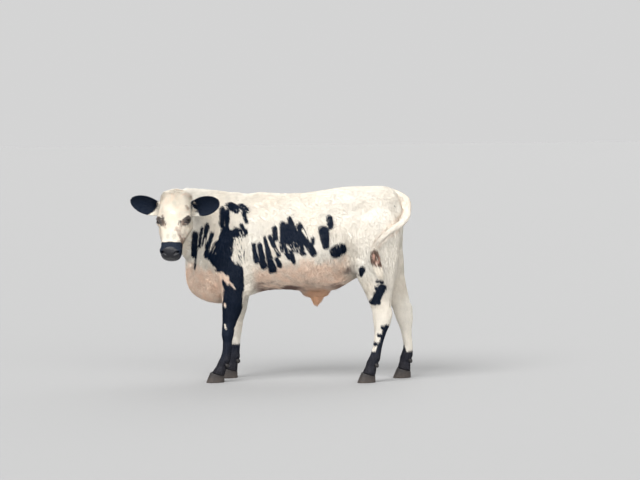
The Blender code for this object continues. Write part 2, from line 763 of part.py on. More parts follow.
def claw_mesh(foot, inner):
    """One claw: pointed at the toe, upright at the heel, flat on its sole and on its inner wall."""
    _, x, y, length, width = foot
    middle, normal = coronet_plane(foot)
    middle = middle - normal * GAP / 2
    rings = []
    for t in np.linspace(0, 1, 4):
        toe = x - length - CLAW_TOE * (1 - t)
        heel = x + length + CLAW_HEEL * (1 - t)
        points = []
        for i in range(CLAW_SIDES):
            angle = 2 * math.pi * i / CLAW_SIDES
            along = 0.5 * (1 - math.cos(angle))
            px = toe + (heel - toe) * along
            bulge = (math.sin(math.pi * along**0.62)) ** 0.6 if 0 < along < 1 else 0.0
            outer = math.sin(angle) > 0
            reach = CLAW_WIDTH + 0.004 * (1 - t)
            across = CLAW_SPLIT + (reach * bulge if outer else 0.004 * (1 - bulge))
            py = y + inner * across
            ceiling = middle.z - normal.x * (px - middle.x) / normal.z
            points.append(Vector((px, py, ceiling * t)))
        rings.append(points)
    return loft(rings)


def dewclaw_mesh(x, y, z, outward):
    """A blunt horn behind the fetlock, pointing down and back."""
    shape = bmesh.new()
    bmesh.ops.create_cone(
        shape,
        cap_ends=True,
        segments=8,
        radius1=DEWCLAW_RADIUS,
        radius2=DEWCLAW_TIP_RADIUS,
        depth=DEWCLAW_LENGTH,
    )
    tilt = Matrix.Rotation(DEWCLAW_TILT, 4, "Y") @ Matrix.Rotation(0.25 * outward, 4, "X")
    place = Matrix.Translation((x, y, z)) @ tilt
    bmesh.ops.transform(shape, matrix=place, verts=shape.verts)
    mesh = bpy.data.meshes.new("dewclaw")
    shape.to_mesh(mesh)
    shape.free()
    return mesh


def skin_hit(tree, start, direction):
    """Where a ray meets the skin, and the skin's normal there."""
    place, normal, _, _ = tree.ray_cast(start, direction)
    return place, normal


def eye_basis(side):
    """Outward, toward the inner corner, and upward directions of an eye."""
    outward = eye_outward(side)
    along = DOWN_FACE * 0.62 + BROW * 0.62 - TO_LEFT * side_left(side) * 0.46
    along = (along - outward * along.dot(outward)).normalized()
    up = outward.cross(along).normalized()
    return outward, along, up if up.dot(DOWN_FACE) < 0 else -up


def eye_seat(tree, side):
    """The middle of the eyeball, so deep that the lids lie over it."""
    outward = eye_outward(side)
    place, _ = skin_hit(tree, eye_centre(side) - outward * 0.03, outward)
    return place - outward * (EYE_RADIUS - EYE_PROUD)


def lid_opening(centre, side):
    """A prism through the lids, pointed at both corners of the eye."""
    outward, along, up = eye_basis(side)
    rings = []
    for reach in (0.30, 2.0):
        points = []
        for i in range(LID_SIDES):
            angle = 2 * math.pi * i / LID_SIDES
            height = LID_HEIGHT * math.sin(angle) * abs(math.sin(angle)) ** 0.35
            flat = along * (LID_WIDTH * math.cos(angle)) + up * (height + LID_DROP)
            points.append(centre + outward * (EYE_RADIUS * reach) + flat)
        rings.append(points)
    return loft(rings)


def brow_fold(centre, side):
    """The soft fold of skin above the upper lid."""
    outward, along, up = eye_basis(side)
    points = []
    radii = []
    for t in np.linspace(0, 1, 6):
        angle = math.pi * (0.12 + 0.76 * t)
        flat = along * (0.021 * math.cos(angle)) + up * (0.017 * math.sin(angle) ** 0.8)
        depth = math.sqrt((EYE_RADIUS + 0.004) ** 2 - min(flat.length, EYE_RADIUS) ** 2)
        points.append(centre + flat + outward * depth)
        radii.append(0.0022 + 0.0020 * math.sin(math.pi * t))
    return tube_mesh(points, radii, 6)


def mouth_path(tree, height):
    """Round the muzzle from one corner of the mouth to the other, on the skin."""
    points = []
    for angle in np.linspace(-MOUTH_REACH, MOUTH_REACH, 21):
        start = head_point(0.345, height, 0)
        rise = 0.16 * abs(math.sin(angle)) - 0.06
        heading = DOWN_FACE * math.cos(angle) + TO_LEFT * math.sin(angle) + BROW * rise
        place, _ = skin_hit(tree, start, heading.normalized())
        points.append(place)
    return points


def nostril_mesh(side):
    """A comma-shaped hollow, wide in front and drawn out to the side and back."""
    points = []
    for down, out, left in NOSTRIL:
        points.append(head_point(down, out, side_left(side) * left))
    return tube_mesh(points, NOSTRIL_RADII, 8)


def tree_of(item):
    mesh = item.data
    return BVHTree.FromPolygons([v.co for v in mesh.vertices], [p.vertices for p in mesh.polygons])


def push_clear(point, radius, trees):
    """Moves a place along the skin's normal until a piece of this radius there stands clear."""
    for tree in trees:
        near, normal, _, _ = tree.find_nearest(point)
        height = (point - near).dot(normal)
        if height < radius + TAIL_CLEARANCE:
            point = point + normal * (radius + TAIL_CLEARANCE - height)
    return point


def path_frames(path):
    """The run, side and up directions at each point of a path."""
    frames = []
    for i, point in enumerate(path):
        run = (path[min(i + 1, len(path) - 1)] - path[max(i - 1, 0)]).normalized()
        side = run.cross(Vector((0, 1, 0.01))).normalized()
        frames.append((point, run, side, side.cross(run)))
    return frames


def tube_mesh(path, radii, count=10, flat=1.0):
    """A round or flattened tube through a path, with its own radius at each point."""
    rings = []
    for (point, _, side, across), radius in zip(path_frames(path), radii):
        rings.append(ring(point, side, across, radius, radius * flat, radius * flat, 2, 2, count))
    return loft(rings)


def relaxed(points):
    """The same path with its kinks eased out, and its ends where they were."""
    inner = [a * 0.25 + b * 0.5 + c * 0.25 for a, b, c in zip(points, points[1:], points[2:])]
    return [points[0], *inner, points[-1]]


def tail_path(torso):
    """The dock, down the rump and swung forward round the near thigh."""
    tree = tree_of(torso)
    rows = smooth_rows(TAIL_ROUTE, 3)
    radii = np.interp(np.linspace(0, 1, len(rows)), (0, 0.25, 1), (TAIL_ROOT_RADIUS, 0.027, TAIL_END_RADIUS))
    points = [Vector(row) for row in rows]
    for _ in range(4):
        for i in range(TAIL_FREE_FROM, len(points)):
            points[i] = push_clear(points[i], radii[i], [tree])
        points = relaxed(points)
    return points, radii


def lock_mesh(root, run, length, width, thick, bend, face, trees=(), stations=4):
    """A flat lock that widens, tapers and bends as it lies, kept clear of the skin beside it."""
    point = root.copy()
    heading = run.normalized()
    rings = []
    for i in range(stations + 1):
        t = i / stations
        taper = (1 - t**1.7) * (0.65 + 0.55 * math.sin(math.pi * min(1, t + 0.12)))
        half = max(width * taper, 0.0008)
        deep = max(thick * taper, 0.0006)
        placed = push_clear(point, deep, trees) if trees and t > 0.2 else point
        across = heading.cross(face).normalized()
        up = across.cross(heading)
        rings.append(
            [placed + across * half, placed + up * deep, placed - across * half, placed - up * deep]
        )
        heading = (heading + bend / stations).normalized()
        point = placed + heading * (length / stations)
    return loft(rings)


def union_all(name, core, meshes, collection):
    """One closed body from a core and the pieces rooted in it."""
    body = new_object(name, core, collection)
    others = new_collection(name + "_pieces")
    for mesh in meshes:
        new_object(name + "_piece", mesh, others)
    union = body.modifiers.new("union", "BOOLEAN")
    union.operation = "UNION"
    union.operand_type = "COLLECTION"
    union.collection = others
    settle(body)
    for item in list(others.objects):
        remove(item)
    bpy.data.collections.remove(others)
    keep_largest(body.data)
    return body


def switch_body(path, torso, collection):
    """The switch: a short core round the end of the dock, and locks that hang from it."""
    dice = random.Random(11)
    trees = [tree_of(torso)]
    fall = Vector(SWITCH_FALL)
    core_points = [path[-3], path[-1]] + [path[-1] + fall * t for t in (0.14, 0.28, 0.42)]
    core_points = [push_clear(p, 0.022, trees) for p in core_points]
    core = tube_mesh(core_points, (0.0175, 0.021, 0.024, 0.020, 0.008))
    locks = []
    for i in range(SWITCH_LOCKS):
        around = 2.4 * i
        level = (i % 4) / 3
        root = core_points[1].lerp(core_points[3], level)
        outward = Vector((math.cos(around), math.sin(around) * 0.7, 0))
        root = root + outward * 0.011
        reach = fall.length * (1.0 - 0.22 * level) * dice.uniform(0.78, 1.02)
        run = fall.normalized() + outward * dice.uniform(0.04, 0.16)
        bend = Vector((dice.uniform(-0.05, 0.30), dice.uniform(-0.1, 0.1), -0.1)) - outward * 0.15
        width = dice.uniform(0.013, 0.018)
        locks.append(lock_mesh(root, run, reach, width, 0.0045, bend, outward, trees))
    return union_all("tail_switch", core, locks, collection)


def sheath_body(collection):
    """The sheath below the belly, with its tuft of hair."""
    dice = random.Random(3)
    points = [Vector((0.105 + 0.045 * t, 0, 0.520 - 0.062 * t)) for t in (0, 0.35, 0.7, 1.0)]
    core = tube_mesh(points, (0.030, 0.034, 0.026, 0.010), 12)
    locks = []
    for i in range(SHEATH_LOCKS):
        around = 2.4 * i
        outward = Vector((math.cos(around), math.sin(around) * 0.6, 0))
        root = points[2] + Vector((outward.x * 0.026, outward.y * 0.014, 0.010 + 0.008 * outward.x))
        run = Vector((0.05, 0, -1)) + outward * dice.uniform(0.10, 0.30)
        bend = Vector((0.1, 0, -0.3)) - outward * 0.5
        locks.append(lock_mesh(root, run, dice.uniform(0.055, 0.078), 0.014, 0.005, bend, outward))
    return union_all("sheath", core, locks, collection)


def shift_to_origin(collection):
    """Moves every node so that the origin is under the middle of the whole calf."""
    low = Vector((1e9,) * 3)
    high = Vector((-1e9,) * 3)
    for item in collection.objects:
        points, _ = arrays_of(item.data)
        low = Vector(map(min, low, points.min(axis=0)))
        high = Vector(map(max, high, points.max(axis=0)))
    moved = Vector((-(low.x + high.x) / 2, -(low.y + high.y) / 2, -low.z))
    for item in collection.objects:
        item.data.transform(Matrix.Translation(moved))
        item.data.update()


def finish_node(item, material):
    item.data.materials.clear()
    item.data.materials.append(material)
    item.data.shade_smooth()
    item.data.set_sharp_from_angle(angle=math.radians(50))


MATERIAL_OF = {
    "eye": "eye",
    "claw": "hoof",
    "dewclaw": "hoof",
    "ear": "black_skin",
    "tail_switch": "switch",
    "sheath": "sheath",
}


def material_for(name):
    for start, material in MATERIAL_OF.items():
        if name.startswith(start):
            return material
    return "coat"


def build_feet(nodes, collection):
    for leg, stations, shifts in (
        ("fore", FORELEG_LEFT, FORELEG_RIGHT_SHIFT),
        ("hind", HINDLEG_LEFT, HINDLEG_RIGHT_SHIFT),
    ):
        for where, side in SIDES.items():
            rows = leg_rows(stations, side, shifts)
            limb = nodes[f"{leg}leg_{where}"]
            fetlock = min(rows, key=lambda row: abs(row[0] - DEWCLAW_HEIGHT))
            for place, outward in (("inner", -side), ("outer", side)):
                claw = new_object(f"claw_{leg}_{where}_{place}", claw_mesh(rows[-1], outward), collection)
                nodes[claw.name] = claw
                x = fetlock[1] + fetlock[3] + 0.004
                mesh = dewclaw_mesh(x, fetlock[2] + outward * 0.018, DEWCLAW_HEIGHT, outward)
                dewclaw = new_object(f"dewclaw_{leg}_{where}_{place}", mesh, collection)
                nodes[dewclaw.name] = dewclaw
                clear_of(dewclaw, limb)


def lay_hair(item, count, seed, region, lie, length, width, lift):
    """Roots locks all over a region of a node's skin, and returns their meshes."""
    dice = random.Random(seed)
    tree = tree_of(item)
    middle, radii = region
    found = []
    for i in range(count):
        aim = Vector((dice.uniform(-1, 1), dice.uniform(-1, 1), dice.uniform(-1, 1)))
        place = Vector(middle) + Vector([a * r for a, r in zip(aim, radii)])
        near, normal, _, _ = tree.find_nearest(place)
        flow = lie(near)
        flow = (flow - normal * flow.dot(normal)).normalized()
        run = flow + normal * lift * dice.uniform(0.7, 1.3)
        bend = -normal * lift * 0.9 + flow.cross(normal) * dice.uniform(-0.5, 0.5)
        reach = length * dice.uniform(0.75, 1.15)
        root = near - normal * HAIR_SUNK
        found.append(lock_mesh(root, run, reach, width, width * 0.35, bend, normal))
    return found


def add_hair(item, locks, collection):
    """Fuses locks into a node."""
    mesh = item.data.copy()
    name = item.name
    remove(item)
    return union_all(name, mesh, locks, collection)


def build_face(head, collection):
    """Lids, mouth line and nostrils."""
    tree = tree_of(head)
    centres = {side: eye_seat(tree, side) for side in SIDES.values()}
    mouth = mouth_path(tree, MOUTH_HEIGHT)
    lids = [ball(centre, EYE_RADIUS + LID_THICKNESS) for centre in centres.values()]
    lids += [brow_fold(centre, side) for side, centre in centres.items()]
    head = add_hair(head, lids, collection)
    for side, centre in centres.items():
        cut_by(head, lid_opening(centre, side))
        cut_by(head, nostril_mesh(side))
    cut_by(head, tube_mesh(mouth, [MOUTH_DEPTH] * len(mouth), 6, 0.34))
    return head, centres


def poll_lie(place):
    """Hair on the poll falls forward over the brow and out to both sides."""
    return DOWN_FACE + TO_LEFT * ((place - POLL).dot(TO_LEFT) * 8)


def build_head_parts(nodes, collection):
    head, centres = build_face(nodes["head"], collection)
    poll = (head_point(0.012, 0.000, 0), (0.068, 0.040, 0.040))
    locks = lay_hair(head, POLL_LOCKS, 5, poll, poll_lie, 0.055, 0.013, 0.48)
    head = add_hair(head, locks, collection)
    nodes["head"] = head
    for where, side in SIDES.items():
        eye = new_object(f"eye_{where}", ball(centres[side], EYE_RADIUS), collection)
        nodes[eye.name] = eye
        clear_of(head, eye)
        ear = new_object(f"ear_{where}", ear_mesh(side), collection)
        nodes[ear.name] = ear
        clear_of(ear, head)
        clear_of(ear, nodes["neck"])


def main():
    clear_scene()
    calf = new_collection("speckled_park_calf")
    materials = {name: make_material(name) for name in COLOURS}
    flesh = fused_flesh(calf)
    nodes = part_body(flesh, calf)
    nodes["neck"] = part_neck(nodes["torso"], calf)
    nodes["head"] = part_head(flesh, calf)
    remove(flesh)
    build_feet(nodes, calf)
    build_head_parts(nodes, calf)
    path, radii = tail_path(nodes["torso"])
    nodes["tail"] = new_object("tail", tube_mesh(path, radii), calf)
    clear_of(nodes["tail"], nodes["torso"])
    nodes["tail_switch"] = switch_body(path, nodes["torso"], calf)
    clear_of(nodes["tail_switch"], nodes["tail"])
    nodes["sheath"] = sheath_body(calf)
    clear_of(nodes["sheath"], nodes["torso"])
    for name, item in nodes.items():
        finish_node(item, materials[material_for(name)])
    shift_to_origin(calf)


main()
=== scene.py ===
import itertools
import math

import bmesh
import bpy
import numpy as np
from mathutils import Matrix, Vector
from mathutils.bvhtree import BVHTree
from mathutils.kdtree import KDTree


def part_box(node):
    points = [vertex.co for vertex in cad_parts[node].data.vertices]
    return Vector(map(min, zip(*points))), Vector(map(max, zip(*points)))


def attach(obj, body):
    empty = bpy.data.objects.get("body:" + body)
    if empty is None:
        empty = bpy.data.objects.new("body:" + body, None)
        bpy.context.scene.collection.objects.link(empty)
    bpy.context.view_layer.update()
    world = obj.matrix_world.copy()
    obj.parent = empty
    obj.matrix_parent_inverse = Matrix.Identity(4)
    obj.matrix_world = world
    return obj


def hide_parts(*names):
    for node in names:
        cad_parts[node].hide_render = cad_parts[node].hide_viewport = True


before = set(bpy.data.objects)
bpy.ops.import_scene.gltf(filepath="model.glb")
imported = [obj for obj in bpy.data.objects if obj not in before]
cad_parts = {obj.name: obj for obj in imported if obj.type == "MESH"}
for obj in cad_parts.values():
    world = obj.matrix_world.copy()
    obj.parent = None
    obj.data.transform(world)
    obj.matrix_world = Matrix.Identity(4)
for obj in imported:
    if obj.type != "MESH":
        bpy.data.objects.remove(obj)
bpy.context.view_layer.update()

SIDES = {"left": -1, "right": 1}

# The calf's middle plane, and its head: the poll, the way the face points and how far it tips
MIDDLE_Y = 0.0956
POLL = Vector((-0.5420, -0.1394, 1.122))
FACE_TURN = math.radians(-2)
FACE_TILT = math.radians(32)
FORWARD = Vector((math.sin(FACE_TURN), -math.cos(FACE_TURN), 0))
DOWN_FACE = Vector((0, 0, -1)) * math.cos(FACE_TILT) + FORWARD * math.sin(FACE_TILT)
BROW = FORWARD * math.cos(FACE_TILT) + Vector((0, 0, 1)) * math.sin(FACE_TILT)
TO_LEFT = Vector((math.cos(FACE_TURN), math.sin(FACE_TURN), 0))
HEAD_AXES = np.array([DOWN_FACE, BROW, TO_LEFT])

# Skin: the size of its mesh, how often its parts are smoothed, how deep it lies under the hair, as a
# share of the hair's length, and how low it reaches at the claws
VOXEL = 0.0030
SKIN_TRIANGLES = 150_000
FINE_BORDER = 0.0032
SKIN_SMOOTHING = 14
FACE_SMOOTHING = 5
LID_SMOOTHING = 10
COAT_DEPTH = 0.24
CORONET = 0.035

# The poll's locks: how far they reach and how thick they are at most
POLL_REACH = 0.13
LOCK_DEPTH = 0.020
LOCK_REPEATS = 200

# Places smoothed more than the rest: middle, reach each way, how fast it fades in, and repeats
POLL_EASED = ((0.01, -0.02, 0), (0.135, 0.125, 0.165), 5, 110)
WITHERS_EASED = ((-0.24, MIDDLE_Y, 1.09), (0.16, 0.13, 0.10), 3, 80)

# Where the skin rises or sinks: middle, reach each way and how far. The poll's places are on the head
POLL_RISES = (
    ((0.0, 0.0, 0), (0.080, 0.080, 0.080), 0.008),
    ((0.020, -0.03, -0.060), (0.060, 0.060, 0.060), 0.009),
    ((0.020, -0.03, 0.060), (0.060, 0.060, 0.060), 0.009),
)
WITHERS_RISES = (
    ((-0.145, MIDDLE_Y, 1.095), (0.075, 0.090, 0.070), -0.010),
    ((-0.215, MIDDLE_Y, 1.085), (0.050, 0.090, 0.070), 0.006),
)

# The flesh inside the sheath's tuft: its middle and how far it goes each way
SHEATH_CORE = ((0.241, MIDDLE_Y, 0.487), (0.034, 0.026, 0.044))

# Lines on the head. Each place says how far down the face, out from the brow and to the left it is,
# and a wrinkle has only how far down it starts and how far it runs
NOSTRIL = ((0.404, -0.030, 0.024), (0.398, -0.024, 0.036), (0.386, -0.030, 0.047), (0.372, -0.042, 0.054))
MOUTH_HEIGHT = -0.088
MOUTH_REACH = math.radians(112)
TEAR_LINE = ((0.226, -0.016, 0.062), (0.252, -0.014, 0.056))
GROOVE = ((0.415, -0.030, 0), (0.418, -0.060, 0), (0.410, -0.082, 0))
WRINKLES = ((0.352, 0.040), (0.338, 0.044), (0.325, 0.046))

# Eyes and lids: the opening, how low it sits, the rim, the folds above it, and the lashes
LID_WIDTH = 0.0178
LID_HEIGHT = 0.0090
LID_DROP = -0.0015
LID_THICKNESS = 0.0024
LID_RADIUS = 0.0014
LID_FOLDS = ((0.0058, -0.0018), (0.0105, -0.0014))
LASHES = 64
LASH_STEPS = 4
LASH_WIDTH = 0.0005

# Ears: root on the head, length, width, how the run rises and comes forward, how thick the ear is,
# and how far its pale root goes. -1 is the calf's left ear and 1 its right
EAR_ROOT = (0.096, -0.062, 0.092)
EAR_LENGTH = 0.176
EAR_WIDTH = 0.112
EAR_RISE = {-1: 0.22, 1: 0.31}
EAR_FORWARD = 0.16
EAR_WALL = 0.0032
EAR_PALE_ROOT = {-1: 0.006, 1: 0.021}

# Tail: the dock's path from rump to switch, and the way the switch falls
TAIL_ROUTE = (
    (0.731, 0.094, 1.060),
    (0.761, 0.076, 0.995),
    (0.758, 0.021, 0.935),
    (0.721, -0.064, 0.900),
    (0.676, -0.114, 0.868),
    (0.626, -0.134, 0.825),
    (0.598, -0.140, 0.780),
)

# Switch and sheath tuft: the line that their locks follow, and half widths along and across the calf
SWITCH_LINE = (
    (0.600, -0.140, 0.800),
    (0.598, -0.141, 0.745),
    (0.608, -0.142, 0.690),
    (0.626, -0.142, 0.630),
    (0.647, -0.142, 0.580),
)
SWITCH_GIRTH = ((0.012, 0.011), (0.025, 0.015), (0.028, 0.017), (0.019, 0.013), (0.005, 0.004))
SWITCH_LOCKS = 640
SHEATH_LINE = (
    (0.228, MIDDLE_Y, 0.545),
    (0.232, MIDDLE_Y, 0.505),
    (0.236, MIDDLE_Y, 0.460),
    (0.240, MIDDLE_Y, 0.418),
)
SHEATH_GIRTH = ((0.048, 0.030), (0.040, 0.028), (0.024, 0.020), (0.006, 0.006))
SHEATH_LOCKS = 620

# Coat: the most triangles in a piece, a tuft's share of the map, how many roots are tried in each
# cell, and each region's spacing of tufts and half width of a tuft
PIECE_TRIANGLES = 190_000
PATCH = 0.003
TRIES = 5
SPACING = {
    "torso": 0.0037,
    "neck": 0.0036,
    "head": 0.0026,
    "forelegs": 0.0031,
    "hindlegs": 0.0032,
    "tail": 0.0034,
    "ears": 0.0028,
}
TUFT_WIDTH = {
    "torso": 0.0012,
    "neck": 0.0012,
    "head": 0.0008,
    "forelegs": 0.0010,
    "hindlegs": 0.0010,
    "tail": 0.0011,
    "ears": 0.0009,
}

# Kinds of tuft: name, shortest and longest hair, stations, and the root's depth and the curl as shares of it
TUFT_KINDS = (
    ("", 0.0, 0.0240, 1, 0.035, 0.06),
    ("_long", 0.0240, 0.0290, 2, 0.055, 0.20),
    ("_locks", 0.0290, 1.0, 3, 0.060, 0.40),
)

# Way and length of the hair on trunk and legs, the same on both sides.
# Each row has x, distance out from the middle plane and z, then the run of the hair, then its length
BODY_LIE = (
    (-0.15, 0.04, 1.09, 1.0, 0.2, -0.1, 0.022),
    (0.05, 0.04, 1.09, 1.0, 0.3, -0.1, 0.021),
    (0.30, 0.05, 1.11, 1.0, 0.3, -0.1, 0.018),
    (0.55, 0.05, 1.12, 1.0, 0.2, -0.2, 0.018),
    (0.70, 0.05, 1.08, 0.6, 0.1, -0.9, 0.018),
    (-0.25, 0.14, 0.97, 0.45, 0.0, -0.85, 0.022),
    (-0.20, 0.18, 0.80, 0.35, 0.0, -0.90, 0.021),
    (-0.10, 0.20, 0.70, 0.55, 0.0, -0.80, 0.021),
    (0.00, 0.20, 0.95, 0.50, 0.0, -0.85, 0.018),
    (0.05, 0.23, 0.78, 0.40, 0.0, -0.92, 0.018),
    (0.25, 0.23, 0.88, 0.50, 0.0, -0.87, 0.017),
    (0.20, 0.20, 0.62, 0.60, -0.2, -0.70, 0.023),
    (0.45, 0.20, 0.98, 0.45, 0.0, -0.90, 0.016),
    (0.42, 0.17, 0.75, 0.15, 0.0, -1.0, 0.021),
    (0.60, 0.20, 0.85, 0.15, 0.0, -1.0, 0.016),
    (0.73, 0.10, 0.90, 0.10, 0.0, -1.0, 0.016),
    (0.70, 0.14, 0.68, 0.10, 0.0, -1.0, 0.019),
    (0.56, 0.18, 0.62, 0.10, 0.0, -1.0, 0.018),
    (0.05, 0.05, 0.53, 1.0, -0.1, 0.0, 0.024),
    (-0.10, 0.05, 0.54, 1.0, -0.1, 0.0, 0.024),
    (0.35, 0.05, 0.56, 0.9, -0.1, 0.2, 0.024),
    (-0.25, 0.04, 0.46, 0.8, 0.0, -0.2, 0.028),
    (-0.43, 0.05, 0.49, 0.6, 0.0, -0.8, 0.030),
    (-0.52, 0.03, 0.65, 0.1, 0.1, -1.0, 0.028),
    (-0.42, 0.13, 0.65, 0.3, 0.0, -0.95, 0.024),
    (-0.24, 0.19, 0.62, 0.15, 0.0, -1.0, 0.016),
    (-0.24, 0.13, 0.45, 0.10, 0.0, -1.0, 0.012),
    (-0.265, 0.12, 0.30, 0.0, 0.0, -1.0, 0.010),
    (-0.28, 0.12, 0.15, 0.1, 0.0, -1.0, 0.011),
    (-0.32, 0.12, 0.07, -0.25, 0.0, -1.0, 0.012),
    (0.63, 0.13, 0.48, 0.1, 0.0, -1.0, 0.014),
    (0.63, 0.13, 0.36, 0.0, 0.0, -1.0, 0.012),
    (0.60, 0.126, 0.20, 0.0, 0.0, -1.0, 0.011),
    (0.56, 0.126, 0.07, -0.25, 0.0, -1.0, 0.012),
)

# The same on the neck, which turns to the left, so each row has its true x, y and z
NECK_LIE = (
    (-0.50, -0.04, 1.10, 0.6, 0.5, -0.2, 0.034),
    (-0.40, 0.05, 1.10, 0.8, 0.4, -0.2, 0.029),
    (-0.28, 0.09, 1.09, 0.95, 0.1, -0.1, 0.023),
    (-0.40, -0.02, 0.98, 0.15, 0.10, -0.95, 0.021),
    (-0.40, -0.04, 0.85, -0.15, 0.05, -1.0, 0.022),
    (-0.42, -0.02, 0.72, 0.0, 0.0, -1.0, 0.027),
    (-0.46, 0.13, 0.98, 0.6, 0.3, -0.7, 0.024),
    (-0.45, 0.15, 0.85, 0.5, 0.2, -0.8, 0.024),
    (-0.55, -0.02, 0.80, 0.1, 0.1, -1.0, 0.027),
)

# The same on the head: down the face, out from the brow and to the side, then the run in the same terms
HEAD_LIE = (
    (0.20, 0.01, 0.00, 1.0, 0.0, 0.0, 0.008),
    (0.29, 0.00, 0.02, 1.0, 0.0, 0.1, 0.006),
    (0.345, 0.00, 0.03, 1.0, 0.0, 0.2, 0.0045),
    (0.15, 0.01, 0.05, 0.2, 0.0, 1.0, 0.010),
    (0.11, 0.015, 0.02, -1.0, 0.0, 0.3, 0.014),
    (0.06, 0.015, 0.01, -1.0, 0.3, 0.1, 0.018),
    (0.03, 0.01, 0.05, -0.4, 0.2, 1.0, 0.022),
    (0.00, -0.01, 0.01, 0.4, 0.6, 0.4, 0.026),
    (-0.01, -0.04, 0.05, 0.6, 0.0, 1.0, 0.022),
    (0.170, -0.022, 0.066, -0.5, -0.1, 0.8, 0.0065),
    (0.222, -0.035, 0.074, 0.8, -0.5, 0.1, 0.0050),
    (0.225, -0.04, 0.085, 0.5, -0.6, 0.1, 0.007),
    (0.145, -0.03, 0.095, -0.4, -0.6, 0.5, 0.010),
    (0.25, -0.06, 0.075, 0.3, -0.9, 0.0, 0.007),
    (0.18, -0.10, 0.09, -0.1, -1.0, 0.0, 0.010),
    (0.12, -0.13, 0.08, -0.4, -0.9, 0.0, 0.016),
    (0.30, -0.11, 0.05, -0.2, -0.8, -0.5, 0.007),
    (0.25, -0.16, 0.02, -0.8, -0.5, 0.0, 0.011),
    (0.36, -0.10, 0.04, 0.3, -0.6, 0.0, 0.0045),
    (0.06, -0.08, 0.09, -0.2, -0.7, 0.5, 0.020),
)

# Black patches of the near side as tapered strokes: x, z and half width at one end, then at the other
NEAR_PATCHES = {
    "shoulder_top": (
        (-0.286, 0.998, 0.015, -0.290, 0.906, 0.011),
        (-0.262, 0.981, 0.017, -0.252, 0.873, 0.015),
        (-0.240, 1.014, 0.024, -0.209, 0.998, 0.024),
        (-0.174, 1.015, 0.017, -0.142, 0.992, 0.017),
        (-0.159, 0.976, 0.013, -0.140, 0.925, 0.008),
    ),
    "shoulder": (
        (-0.251, 0.868, 0.043, -0.283, 0.732, 0.055),
        (-0.291, 0.817, 0.017, -0.372, 0.740, 0.023),
        (-0.378, 0.735, 0.022, -0.310, 0.708, 0.026),
        (-0.340, 0.690, 0.010, -0.300, 0.665, 0.014),
        (-0.233, 0.868, 0.026, -0.160, 0.862, 0.022),
        (-0.169, 0.908, 0.010, -0.145, 0.862, 0.013),
        (-0.278, 0.709, 0.040, -0.238, 0.657, 0.040),
        (-0.261, 0.668, 0.029, -0.316, 0.650, 0.009),
    ),
    "neck": (
        (-0.379, 0.901, 0.012, -0.404, 0.791, 0.010),
        (-0.407, 0.890, 0.007, -0.427, 0.780, 0.007),
        (-0.447, 0.856, 0.014, -0.459, 0.733, 0.017),
        (-0.351, 0.854, 0.011, -0.373, 0.792, 0.013),
        (-0.373, 0.792, 0.015, -0.378, 0.735, 0.017),
        (-0.447, 0.721, 0.007, -0.454, 0.650, 0.003),
    ),
    "ribs": (
        (-0.098, 0.794, 0.012, -0.080, 0.702, 0.015),
        (-0.063, 0.794, 0.013, -0.040, 0.674, 0.021),
        (-0.032, 0.840, 0.008, 0.011, 0.656, 0.024),
        (-0.002, 0.840, 0.011, 0.050, 0.738, 0.012),
        (0.038, 0.715, 0.012, 0.054, 0.680, 0.015),
        (0.026, 0.891, 0.013, 0.033, 0.801, 0.018),
        (0.073, 0.914, 0.015, 0.074, 0.772, 0.019),
        (0.103, 0.874, 0.046, 0.155, 0.801, 0.050),
        (0.112, 0.948, 0.010, 0.126, 0.886, 0.026),
        (0.171, 0.902, 0.017, 0.207, 0.795, 0.026),
        (0.224, 0.795, 0.021, 0.252, 0.748, 0.018),
        (0.247, 0.828, 0.009, 0.247, 0.806, 0.010),
        (0.086, 0.772, 0.016, 0.114, 0.721, 0.011),
        (0.115, 0.761, 0.019, 0.136, 0.698, 0.011),
        (0.172, 0.772, 0.016, 0.195, 0.743, 0.011),
    ),
    "flank": (
        (0.342, 0.946, 0.016, 0.348, 0.901, 0.016),
        (0.309, 0.873, 0.029, 0.320, 0.787, 0.018),
        (0.375, 0.752, 0.034, 0.403, 0.768, 0.032),
        (0.522, 0.647, 0.019, 0.514, 0.617, 0.009),
    ),
}
NEAR_LEGS = (
    (-0.204, 0.645, 0.040, -0.201, 0.546, 0.040),
    (-0.282, 0.587, 0.007, -0.254, 0.529, 0.017),
    (-0.225, 0.517, 0.054, -0.240, 0.418, 0.055),
    (-0.246, 0.400, 0.051, -0.266, 0.319, 0.036),
    (-0.272, 0.319, 0.040, -0.281, 0.219, 0.040),
    (0.634, 0.543, 0.025, 0.593, 0.467, 0.023),
    (0.600, 0.543, 0.007, 0.640, 0.543, 0.011),
    (0.569, 0.461, 0.009, 0.610, 0.462, 0.015),
    (0.607, 0.583, 0.005, 0.641, 0.577, 0.007),
    (0.655, 0.316, 0.014, 0.636, 0.222, 0.021),
    (0.630, 0.317, 0.007, 0.658, 0.304, 0.011),
    (0.608, 0.272, 0.007, 0.645, 0.262, 0.011),
    (0.627, 0.211, 0.023, 0.616, 0.154, 0.029),
    (0.575, 0.222, 0.009, 0.594, 0.219, 0.009),
)
FAR_LEGS = (
    (0.703, 0.228, 0.010, 0.716, 0.190, 0.012),
    (0.716, 0.190, 0.017, 0.736, 0.106, 0.032),
)
